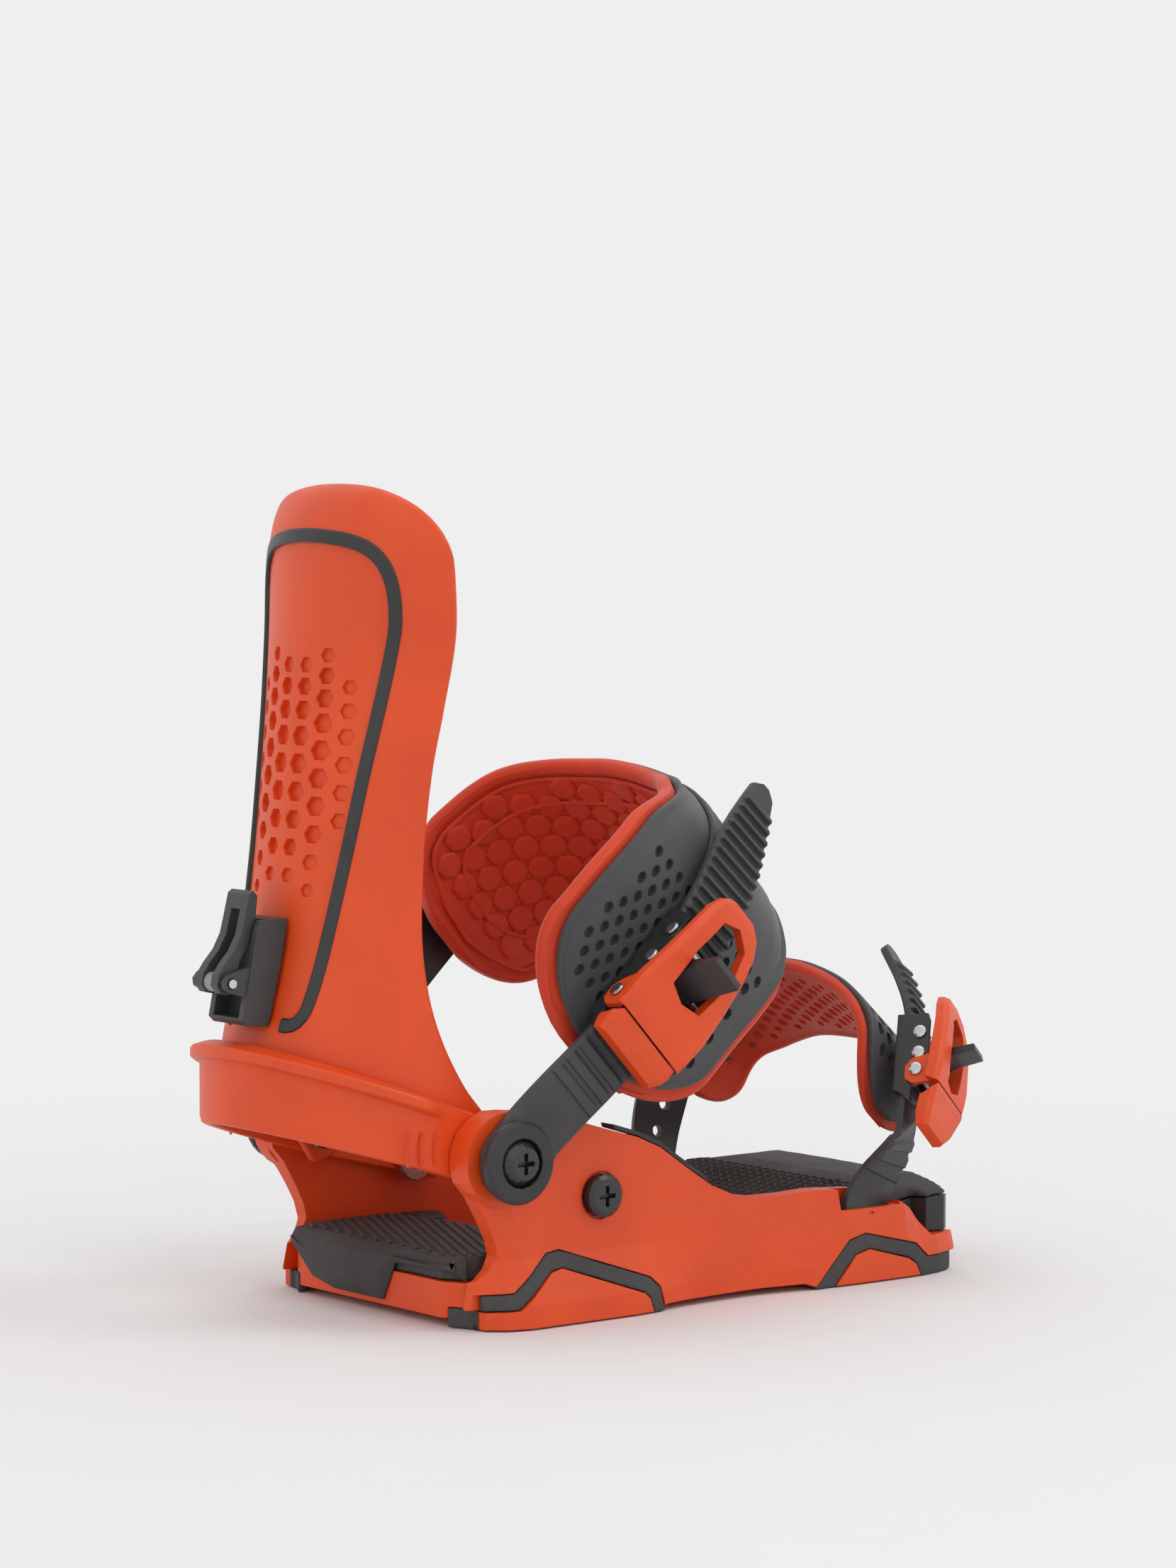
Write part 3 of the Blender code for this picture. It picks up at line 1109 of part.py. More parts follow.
def toe_outs(points, side):
    """Outward directions along a toe strap that turns to face over the toes."""
    outs = []
    for point in points:
        turn = knots(point.z, [(24, 0.0), (62, 1.0), (92, 1.0)])
        lift = knots(point.z, [(90, 0.0), (118, 0.35)])
        outs.append(Vector((TOE_OUT[0] * turn, -side * (1 - (1 + TOE_OUT[1]) * turn),
                            TOE_OUT[2] * turn + lift)))
    return outs


def build_toe_straps(axis):
    """Near ladder, far connector strap and the two anchor pins."""
    points, halves, tops = ladder_stations(TOE_LADDER, 60, TOE_STRAP_WIDTH, 1.7, 36.0, 5.0, 1.6, 1.0, 42.0)
    lows, tops = with_eye(points, [-1.5] * len(points), tops)
    ladder = ribbon("toe_ladder", points, toe_outs(points, 1), halves, lows, tops, "charcoal")
    boolean(ladder, anchor_rod("toe_ladder_bore", 1, 8, TOE_PIN_R + GAP))
    hang(ladder, axis)
    far = [(74.4, 61.0, 21.0), (74.6, 61.0, 24.0), (77.0, 62.0, 32.0), (81.0, 65.0, 43.0),
           (85.8, 66.0, 56.0),
           (90.0, 65.4, 68.0)]
    points = curve_through(far, 26)
    count = len(points)
    lows, tops = with_eye(points, [-1.5] * count, [1.4] * count)
    strap = ribbon("toe_far_strap", points, toe_outs(points, -1), [10.0] * count, lows, tops, "black")
    boolean(strap, anchor_rod("toe_far_bore", -1, 8, TOE_PIN_R + GAP))
    for index, (x, z) in enumerate(((80.6, 41.0), (85.0, 51.0)), start=1):
        boolean(strap, rod("far_hole_%d" % index, (x, 50, z), (x, 90, z), 2.2, sides=16))
    hang(strap, axis)
    for side, tag in ((1, "near"), (-1, "far")):
        anchor_rod("toe_anchor_pin_" + tag, side, 5.6, TOE_PIN_R, "steel")


def anchor_rod(name, side, reach, radius, finish=None):
    """A rod across a toe strap's anchor, reaching into the wall on both sides."""
    return rod(name, (TOE_ANCHOR_X, -side * (TOE_ANCHOR_Y - reach), TOE_ANCHOR_Z),
               (TOE_ANCHOR_X, -side * (TOE_ANCHOR_Y + reach), TOE_ANCHOR_Z), radius, finish, sides=16)


def with_eye(points, lows, tops):
    """Thicken a strap's first millimetres so that its pin can pass through."""
    run = 0.0
    for k, point in enumerate(points):
        if k:
            run += (point - points[k - 1]).length
        if run < 8.0:
            lows[k] = line_knots(run, [(0, -2.2), (1.0, -TOE_EYE_R), (5.2, -TOE_EYE_R), (8.0, lows[k])])
            tops[k] = line_knots(run, [(0, 2.2), (1.0, TOE_EYE_R), (5.2, TOE_EYE_R), (8.0, tops[k])])
    return lows, tops


# ---- assembly -------------------------------------------------------------------------
def toe_buckle_frame():
    """The toe buckle's frame, on the near ladder where it passes the lever pin."""
    points = curve_through(TOE_LADDER, 120)
    index = min(range(120), key=lambda k: abs(points[k].z - 71.0))
    ahead = Vector(TOE_LADDER[7]) - Vector(TOE_LADDER[5])
    out = Vector(TOE_OUT)
    frame = Local(points[index], ahead, out)
    return Local(frame.point(0, 0, 5.6), ahead, out)


def main():
    """Build the whole binding."""
    build_base()
    build_fasteners()
    build_trims()
    build_heelcup()
    back_axis = empty("highback_axis", (PIVOT_X, 0, PIVOT_Z))
    build_highback(back_axis)
    block_axis = empty("lean_block_axis", (LEAN_PIN[0], 0, LEAN_PIN[1]), back_axis)
    lean_lever_axis = empty("lean_lever_axis", (LEAN_PIN[0], 0, LEAN_PIN[1]), block_axis)
    build_lean_adjuster(block_axis, lean_lever_axis)
    ankle_axis = empty("ankle_strap_axis", (PIVOT_X, 0, PIVOT_Z))
    build_ankle_pad(ankle_axis)
    build_ankle_straps(ankle_axis)
    along, _ = strap_frame(ANKLE_ANGLE)
    frame = Local(ankle_point(ANKLE_PIN_A, 0.0, 79.6), along, (0, -1, 0))
    lever_axis = empty("ankle_lever_axis", frame.point(0, 0, 0), ankle_axis)
    release_axis = empty("ankle_release_axis", frame.point(18.4, 0, 0), ankle_axis)
    Buckle("ankle", frame, ANKLE_BUCKLE, (0.0, 18.4, 31.0), ankle_axis, lever_axis, release_axis).build()
    toe_axis = empty("toe_strap_axis", (TOE_ANCHOR_X, 0, TOE_ANCHOR_Z))
    build_toe_pad(toe_axis)
    build_toe_straps(toe_axis)
    frame = toe_buckle_frame()
    lever_axis = empty("toe_lever_axis", frame.point(0, 0, 0), toe_axis)
    release_axis = empty("toe_release_axis", frame.point(7.4, 0, 0), toe_axis)
    Buckle("toe", frame, TOE_BUCKLE, (0.0, 7.4, 15.6), toe_axis, lever_axis, release_axis).build()


main()
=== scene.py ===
"""Two-strap snowboard binding, right foot: the visual model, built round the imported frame.

Sizes in the classes are millimetres, in the part's own directions: X to the toe, Z up from the
board, and the buckles on the -Y side. They are turned into metres where a mesh is made.
"""
import json
import logging
import math
from dataclasses import dataclass, field
from enum import Enum
from typing import Callable, Iterable, Sequence

import bmesh
import bpy
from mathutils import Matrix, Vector, noise


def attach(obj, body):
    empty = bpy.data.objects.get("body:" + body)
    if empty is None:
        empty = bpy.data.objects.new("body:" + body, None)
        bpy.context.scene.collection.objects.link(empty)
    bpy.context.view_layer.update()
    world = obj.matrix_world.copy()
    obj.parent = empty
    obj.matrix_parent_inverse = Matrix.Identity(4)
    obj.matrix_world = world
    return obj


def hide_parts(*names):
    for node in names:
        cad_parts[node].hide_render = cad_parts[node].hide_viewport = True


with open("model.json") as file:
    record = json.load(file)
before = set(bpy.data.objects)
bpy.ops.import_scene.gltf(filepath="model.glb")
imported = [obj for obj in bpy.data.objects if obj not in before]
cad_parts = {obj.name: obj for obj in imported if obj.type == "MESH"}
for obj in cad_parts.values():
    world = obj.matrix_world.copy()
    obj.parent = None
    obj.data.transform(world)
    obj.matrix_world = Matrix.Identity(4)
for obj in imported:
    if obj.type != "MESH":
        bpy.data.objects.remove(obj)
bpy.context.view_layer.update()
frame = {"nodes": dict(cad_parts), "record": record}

MM = 0.001
FOAM_WAVE = 9.0           # spacing of the soft unevenness of foam faces
FOAM_SAG = 0.2            # its height
LOG = logging.getLogger("binding")
Table = Sequence[tuple[float, float]]
Ring = list[Vector]
Swell = Callable[[float, float], tuple[float, float]]
COLOUR_CLOUD = 38.0        # spacing of the slow drift in a moulding's colour
PIVOT_BORE = 3.3           # radius of the holes for the pivot and side screws


# ---- finishes ----
class Pattern(Enum):
    """Relief that a finish carries besides its grain."""

    PLAIN = "plain"
    BRUSHED = "brushed"
    CELLS = "cells"


@dataclass(frozen=True)
class Finish:
    """One real material with the way its surface was made; lengths are millimetres."""

    name: str
    colour: str
    drift: str
    roughness: float
    roughness_spread: float
    grain: float
    grain_height: float
    metallic: float = 0.0
    ior: float = 1.5
    coat: float = 0.0
    sheen: float = 0.0
    edge: float = 0.5
    pattern: Pattern = Pattern.PLAIN
    pitch: float = 1.0
    fade: float = 0.0


# Glass-filled nylon, injection moulded in a spark-eroded tool: a satin skin with a fine even grain
# that spreads every highlight, and a colour that leans darker where the melt cooled slowly.
ORANGE_NYLON = Finish("orange_nylon_moulded", "#E64D11", "#DB4610", 0.44, 0.10, 0.7, 0.020, ior=1.50)
# Softer moulded foam skin: no gloss, a slightly pebbled face that looks deeper in colour.
ORANGE_FOAM = Finish("orange_eva_foam_skin", "#D93F12", "#CB360E", 0.62, 0.12, 1.2, 0.050, ior=1.48,
                     sheen=0.15)
# Acetal, moulded: dense black with a waxy sheen that keeps its edges readable.
BLACK_ACETAL = Finish("black_acetal_moulded", "#333334", "#2B2B2C", 0.40, 0.10, 0.8, 0.022, ior=1.48)
# Thermoplastic urethane, moulded: dark grey, slightly rubbery, a low broad highlight.
CHARCOAL_URETHANE = Finish("charcoal_urethane_moulded", "#414142", "#38383A", 0.46, 0.10, 0.9, 0.030)
# Synthetic upper over foam, pressed: the softest of the dark pieces, almost without highlight.
CHARCOAL_UPPER = Finish("charcoal_pressed_upper", "#444446", "#3B3B3D", 0.60, 0.10, 1.0, 0.060, sheen=0.2)
# EVA foam, die cut from skived sheet: open fine cells that scatter the light evenly.
EVA_FOAM = Finish("charcoal_eva_skived", "#474646", "#3C3B3B", 0.72, 0.10, 1.1, 0.090,
                  pattern=Pattern.CELLS, pitch=1.6)
# Spring steel, stamped and black coated: thin film over metal, a tighter highlight than plastic.
BLACK_STEEL = Finish("black_coated_steel_stamped", "#2C2C2E", "#242426", 0.34, 0.08, 0.6, 0.010, coat=0.3)
# Stainless steel, turned: bright, with fine lathe rings stretched across the highlight.
TURNED_STEEL = Finish("stainless_steel_turned", "#D6D7DA", "#BFC1C5", 0.24, 0.12, 0.35, 0.006, metallic=1.0,
                      pattern=Pattern.BRUSHED, pitch=0.4)
# Natural nylon, turned: light grey and slightly translucent looking, a soft narrow highlight.
GREY_NYLON = Finish("grey_nylon_turned", "#8F9092", "#85868A", 0.42, 0.08, 0.6, 0.012, ior=1.53)
# Painted board, rolled: flat pale studio sweep with a trace of roller texture.
STUDIO_PAINT = Finish("studio_paint_rolled", "#EDEDED", "#ECECEC", 0.90, 0.05, 6.0, 0.02, ior=1.45, edge=0.0,
                      fade=620.0)

SLOT_FINISHES = {
    "orange_nylon": ORANGE_NYLON, "black_polymer": BLACK_ACETAL, "charcoal_polymer": CHARCOAL_URETHANE,
    "charcoal_upper": CHARCOAL_UPPER, "orange_liner": ORANGE_FOAM, "eva_foam": EVA_FOAM,
    "black_steel": BLACK_STEEL, "steel": TURNED_STEEL, "grey_nylon": GREY_NYLON,
}


def linear(code: str) -> tuple[float, float, float, float]:
    """Turn an sRGB hex colour into linear light.

    Args:
        code: a colour such as "#EE4F1F".

    Returns:
        Red, green, blue and an alpha of one.
    """
    shares = [int(code[k:k + 2], 16) / 255 for k in (1, 3, 5)]
    red, green, blue = (s / 12.92 if s <= 0.04045 else ((s + 0.055) / 1.055) ** 2.4 for s in shares)
    return red, green, blue, 1.0


class FinishShop:
    """Makes each finish's node material once and hands it out again."""

    def __init__(self) -> None:
        """Start with no materials."""
        self.made: dict[str, bpy.types.Material] = {}

    def add(self, tree: bpy.types.NodeTree, kind: str, settings: dict[str, object],
            links: dict[str, bpy.types.NodeSocket]) -> bpy.types.Node:
        """Add a node with its settings and incoming links.

        Args:
            tree: the material's node tree.
            kind: Blender's node type.
            settings: input values by socket name, and node properties by attribute name.
            links: sockets to join, by this node's input name.

        Returns:
            The new node.
        """
        node = tree.nodes.new(kind)
        for key, value in settings.items():
            if hasattr(node, key):
                setattr(node, key, value)
            else:
                node.inputs[key].default_value = value
        for key, source in links.items():
            tree.links.new(source, node.inputs[key])
        return node

    def get(self, finish: Finish) -> bpy.types.Material:
        """Return the finish's material, making it on first use.

        Args:
            finish: the finish wanted.

        Returns:
            The node material.
        """
        if finish.name not in self.made:
            self.made[finish.name] = self.build(finish)
        return self.made[finish.name]

    def build(self, finish: Finish) -> bpy.types.Material:
        """Build colour drift, roughness drift, grain and relief from the finish's real sizes.

        Args:
            finish: the finish to build.

        Returns:
            The node material.
        """
        mat = bpy.data.materials.new(finish.name)
        mat.use_nodes = True
        tree = mat.node_tree
        shader = tree.nodes["Principled BSDF"]
        where = self.add(tree, "ShaderNodeTexCoord", {}, {}).outputs["Object"]
        cloud = self.add(tree, "ShaderNodeTexNoise",
                         {"Scale": 1 / (COLOUR_CLOUD * MM), "Detail": 4.0, "Roughness": 0.6},
                         {"Vector": where}).outputs["Fac"]
        spread = self.add(tree, "ShaderNodeMapRange", {"From Min": 0.35, "From Max": 0.65}, {"Value": cloud})
        tint = self.add(tree, "ShaderNodeMix", {"data_type": "RGBA"}, {"Factor": spread.outputs["Result"]})
        tint.inputs[6].default_value = linear(finish.colour)
        tint.inputs[7].default_value = linear(finish.drift)
        tree.links.new(tint.outputs[2], shader.inputs["Base Color"])
        fine = self.add(tree, "ShaderNodeTexNoise", {"Scale": 1 / (finish.grain * MM), "Detail": 3.0},
                        {"Vector": where}).outputs["Fac"]
        low = finish.roughness - finish.roughness_spread / 2
        rough = self.add(tree, "ShaderNodeMapRange",
                         {"From Min": 0.3, "From Max": 0.7, "To Min": low,
                          "To Max": low + finish.roughness_spread},
                         {"Value": fine})
        tree.links.new(rough.outputs["Result"], shader.inputs["Roughness"])
        if finish.fade:
            away = self.add(tree, "ShaderNodeVectorMath", {"operation": "LENGTH"}, {"Vector": where})
            gone = self.add(tree, "ShaderNodeMapRange",
                            {"From Min": finish.fade * 0.45 * MM, "From Max": finish.fade * MM, "To Min": 1.0,
                             "To Max": 0.0}, {"Value": away.outputs["Value"]})
            tree.links.new(gone.outputs["Result"], shader.inputs["Alpha"])
        soft = self.add(tree, "ShaderNodeBevel", {"samples": 4, "Radius": finish.edge * MM}, {})
        normal = self.add(tree, "ShaderNodeBump", {"Strength": 1.0, "Distance": finish.grain_height * MM},
                          {"Height": fine, "Normal": soft.outputs["Normal"]}).outputs["Normal"]
        normal = self.relief(tree, finish, where, normal)
        tree.links.new(normal, shader.inputs["Normal"])
        shader.inputs["Metallic"].default_value = finish.metallic
        if not finish.metallic:
            shader.inputs["IOR"].default_value = finish.ior
        shader.inputs["Coat Weight"].default_value = finish.coat
        shader.inputs["Sheen Weight"].default_value = finish.sheen
        mat.diffuse_color = linear(finish.colour)
        return mat

    def relief(self, tree: bpy.types.NodeTree, finish: Finish, where: bpy.types.NodeSocket,
               normal: bpy.types.NodeSocket) -> bpy.types.NodeSocket:
        """Add the finish's own relief on top of its grain.

        Args:
            tree: the material's node tree.
            finish: the finish, with its pattern and pitch.
            where: coordinates in metres.
            normal: the normal so far.

        Returns:
            The normal with the relief.
        """
        if finish.pattern is Pattern.CELLS:
            cells = self.add(tree, "ShaderNodeTexVoronoi", {"Scale": 1 / (finish.pitch * MM)},
                             {"Vector": where})
            return self.add(tree, "ShaderNodeBump", {"Strength": 0.6, "Distance": 0.08 * MM},
                            {"Height": cells.outputs["Distance"], "Normal": normal}).outputs["Normal"]
        if finish.pattern is Pattern.BRUSHED:
            stretch = self.add(tree, "ShaderNodeMapping", {"Scale": (1.0, 0.06, 1.0)}, {"Vector": where})
            lines = self.add(tree, "ShaderNodeTexNoise", {"Scale": 1 / (finish.pitch * MM), "Detail": 2.0},
                             {"Vector": stretch.outputs["Vector"]})
            return self.add(tree, "ShaderNodeBump", {"Strength": 0.5, "Distance": 0.01 * MM},
                            {"Height": lines.outputs["Fac"], "Normal": normal}).outputs["Normal"]
        return normal


SHOP = FinishShop()


# ---- curves and meshes ----
def knots(x: float, table: Table, straight: bool = False) -> float:
    """Value at x through a short table.

    Args:
        x: where to read.
        table: (x, value) pairs in order.
        straight: joins the entries by straight lines instead of soft steps.

    Returns:
        The value, held beyond both ends.
    """
    if x <= table[0][0]:
        return table[0][1]
    for (x0, v0), (x1, v1) in zip(table, table[1:]):
        if x <= x1:
            if straight:
                return v0 + (v1 - v0) * (x - x0) / (x1 - x0)
            t = (x - x0) / (x1 - x0)
            return v0 + (v1 - v0) * t * t * (3 - 2 * t)
    return table[-1][1]


def line_knots(x: float, table: Table) -> float:
    """Straight-line value at x through a short table."""
    return knots(x, table, straight=True)


def round_turns(count: int) -> list[tuple[float, float]]:
    """Cosine and sine of evenly spaced turns round a circle."""
    return [(math.cos(k * math.tau / count), math.sin(k * math.tau / count)) for k in range(count)]


def round_end(share: float, least: float = 0.0) -> float:
    """Half width of a round end as a share, where share runs from 0 at its tip to 1 where it is full."""
    return math.sqrt(max(least, 1 - (1 - share) ** 2))


def curve_knots(x: float, table: Table) -> float:
    """Value at x on one flowing curve through a table, without flat spots at its entries.

    Args:
        x: where to read.
        table: (x, value) pairs in order.

    Returns:
        The value, held beyond both ends.
    """
    if x <= table[0][0]:
        return table[0][1]
    if x >= table[-1][0]:
        return table[-1][1]
    slopes = [(v1 - v0) / (x1 - x0) for (x0, v0), (x1, v1) in zip(table, table[1:])]
    turns = [slopes[0]] + [(a + b) / 2 for a, b in zip(slopes, slopes[1:])] + [slopes[-1]]
    for k, ((x0, v0), (x1, v1)) in enumerate(zip(table, table[1:])):
        if x <= x1:
            span = x1 - x0
            t = (x - x0) / span
            return (v0 * (1 + 2 * t) * (1 - t) ** 2 + v1 * t * t * (3 - 2 * t)
                    + span * turns[k] * t * (1 - t) ** 2 - span * turns[k + 1] * t * t * (1 - t))
    return table[-1][1]


class Track:
    """A smooth curve through a few points, read by distance along it."""

    def __init__(self, points: Iterable[Sequence[float]]) -> None:
        """Sample the curve closely.

        Args:
            points: the points it passes through, in millimetres.
        """
        knot = [Vector(p) for p in points]
        padded = [2 * knot[0] - knot[1]] + knot + [2 * knot[-1] - knot[-2]]
        dense: list[Vector] = []
        for p0, p1, p2, p3 in zip(padded, padded[1:], padded[2:], padded[3:]):
            for k in range(24):
                t = k / 24
                dense.append(0.5 * (2 * p1 + (p2 - p0) * t + (2 * p0 - 5 * p1 + 4 * p2 - p3) * t * t
                                    + (3 * p1 - p0 - 3 * p2 + p3) * t ** 3))
        dense.append(knot[-1])
        self.dense = dense
        self.marks = [0.0]
        for a, b in zip(dense, dense[1:]):
            self.marks.append(self.marks[-1] + (b - a).length)
        self.length = self.marks[-1]

    def at(self, distance: float) -> Vector:
        """Point at a distance along the curve.

        Args:
            distance: millimetres from its start.

        Returns:
            The point, in millimetres.
        """
        distance = min(max(distance, 0.0), self.length)
        low, high = 0, len(self.marks) - 1
        while high - low > 1:
            middle = (low + high) // 2
            low, high = (middle, high) if self.marks[middle] <= distance else (low, middle)
        span = self.marks[high] - self.marks[low]
        return self.dense[low].lerp(self.dense[high], (distance - self.marks[low]) / span if span else 0.0)

    def ahead(self, distance: float) -> Vector:
        """Unit direction of travel at a distance along the curve."""
        return (self.at(distance + 1.2) - self.at(distance - 1.2)).normalized()


class Solid:
    """A mesh in the making; points are millimetres."""

    def __init__(self, rings: Sequence[Ring] = ()) -> None:
        """Start empty, or with a skin through the rings given."""
        self.bm = bmesh.new()
        if rings:
            self.loft(rings)

    def loft(self, rings: Sequence[Ring], closed: bool = True) -> None:
        """Add a skin through rings of points with the same count.

        Args:
            rings: the rings in order.
            closed: whether to cap the first and the last ring.
        """
        loops = [[self.bm.verts.new(point) for point in ring] for ring in rings]
        count = len(loops[0])
        for first, second in zip(loops, loops[1:]):
            for i in range(count):
                j = (i + 1) % count
                self.bm.faces.new((first[i], first[j], second[j], second[i]))
        if closed:
            self.bm.faces.new(loops[0])
            self.bm.faces.new(list(reversed(loops[-1])))

    def shell(self, outer: Sequence[Ring], inner: Sequence[Ring]) -> None:
        """Add a closed body between two matching grids.

        Args:
            outer: rows of points of the outer face.
            inner: rows of points of the inner face.
        """
        top = [[self.bm.verts.new(p) for p in row] for row in outer]
        base = [[self.bm.verts.new(p) for p in row] for row in inner]
        rows, columns = len(top) - 1, len(top[0]) - 1
        for i in range(rows):
            for j in range(columns):
                self.bm.faces.new((top[i][j], top[i][j + 1], top[i + 1][j + 1], top[i + 1][j]))
                self.bm.faces.new((base[i][j], base[i + 1][j], base[i + 1][j + 1], base[i][j + 1]))
        for i in range(rows):
            self.bm.faces.new((top[i][0], top[i + 1][0], base[i + 1][0], base[i][0]))
            self.bm.faces.new((top[i][columns], base[i][columns], base[i + 1][columns], top[i + 1][columns]))
        for j in range(columns):
            self.bm.faces.new((top[0][j], base[0][j], base[0][j + 1], top[0][j + 1]))
            self.bm.faces.new((top[rows][j], top[rows][j + 1], base[rows][j + 1], base[rows][j]))

    def bore(self, place: Vector, radius: float, span: tuple[float, float], count: int = 20) -> None:
        """Add a round cutter that runs across the binding.

        Args:
            place: a point on its axis.
            radius: its radius.
            span: where it starts and ends across, from the place.
            count: its sides.
        """
        turns = round_turns(count)
        self.loft([[place + Vector((radius * c, y, radius * d)) for c, d in turns] for y in span])

    def mesh(self, name: str) -> bpy.types.Mesh:
        """Close the work and return it as a mesh.

        Args:
            name: the mesh's name.

        Returns:
            The mesh, in metres.
        """
        bmesh.ops.recalc_face_normals(self.bm, faces=self.bm.faces)
        bmesh.ops.scale(self.bm, vec=(MM, MM, MM), verts=self.bm.verts)
        mesh = bpy.data.meshes.new(name)
        self.bm.to_mesh(mesh)
        self.bm.free()
        return mesh


@dataclass
class Piece:
    """A finished visible piece and what it stands for."""

    name: str
    solid: Solid
    finish: Finish
    body: str
    slot: str
    nodes: tuple[str, ...] = ()
    crease: float = 35.0
    bevel: float = 0.0
    cuts: tuple[Solid, ...] = ()
    fill: float | None = None
    grid: float = 0.0

    def place(self) -> bpy.types.Object:
        """Make the object, cut it, dress it and join it to the frame.

        Returns:
            The placed object.
        """
        obj = bpy.data.objects.new(self.name, self.solid.mesh(self.name))
        bpy.context.scene.collection.objects.link(obj)
        tools = []
        for index, cut in enumerate(self.cuts):
            tool = bpy.data.objects.new("cut_%d" % index, cut.mesh("cut"))
            bpy.context.scene.collection.objects.link(tool)
            mod = obj.modifiers.new("cut_%d" % index, "BOOLEAN")
            mod.object, mod.operation, mod.solver = tool, "DIFFERENCE", "EXACT"
            tools.append(tool)
        if self.bevel:
            mod = obj.modifiers.new("edges", "BEVEL")
            mod.width, mod.segments, mod.limit_method = self.bevel * MM, 2, "ANGLE"
            mod.angle_limit = math.radians(self.crease)
        if self.grid:
            mod = obj.modifiers.new("foam", "REMESH")
            mod.mode, mod.voxel_size = "VOXEL", self.grid * MM
            mod = obj.modifiers.new("roll", "SMOOTH")
            mod.factor, mod.iterations = 0.5, 5
        if obj.modifiers:
            graph = bpy.context.evaluated_depsgraph_get()
            mesh = bpy.data.meshes.new_from_object(obj.evaluated_get(graph))
            obj.modifiers.clear()
            obj.data = mesh
        for tool in tools:
            bpy.data.objects.remove(tool)
        if self.grid:
            moves = [vertex.normal * noise.noise(vertex.co / (FOAM_WAVE * MM)) * FOAM_SAG * MM
                     for vertex in obj.data.vertices]
            for vertex, move in zip(obj.data.vertices, moves):
                vertex.co += move
        obj.data.materials.clear()
        obj.data.materials.append(SHOP.get(self.finish))
        obj.data.shade_smooth()
        obj.data.set_sharp_from_angle(angle=math.radians(self.crease))
        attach(obj, self.body)
        if self.nodes:
            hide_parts(*self.nodes)
        LOG.info("%s: %d faces on %s", self.name, len(obj.data.polygons), self.body)
        return obj


def rounding(depth: float, thick: float) -> float:
    """How far a rounded rim draws in at a distance from the edge.

    Args:
        depth: distance from the edge.
        thick: the sheet's thickness.

    Returns:
        The draw-in on each face.
    """
    radius = thick / 2
    if depth >= radius:
        return 0.0
    return (radius - math.sqrt(max(0.0, radius ** 2 - (radius - depth) ** 2))) * 0.96


def shares(count: int, rim: Sequence[float]) -> list[float]:
    """Places from 0 to 1, closer together near both ends.

    Args:
        count: steps across the middle.
        rim: extra places near an end, as shares.

    Returns:
        The places in order.
    """
    inner = [rim[-1] + (1 - 2 * rim[-1]) * k / count for k in range(count + 1)]
    return sorted(set([0.0] + list(rim[:-1]) + inner + [1 - r for r in rim[:-1]] + [1.0]))


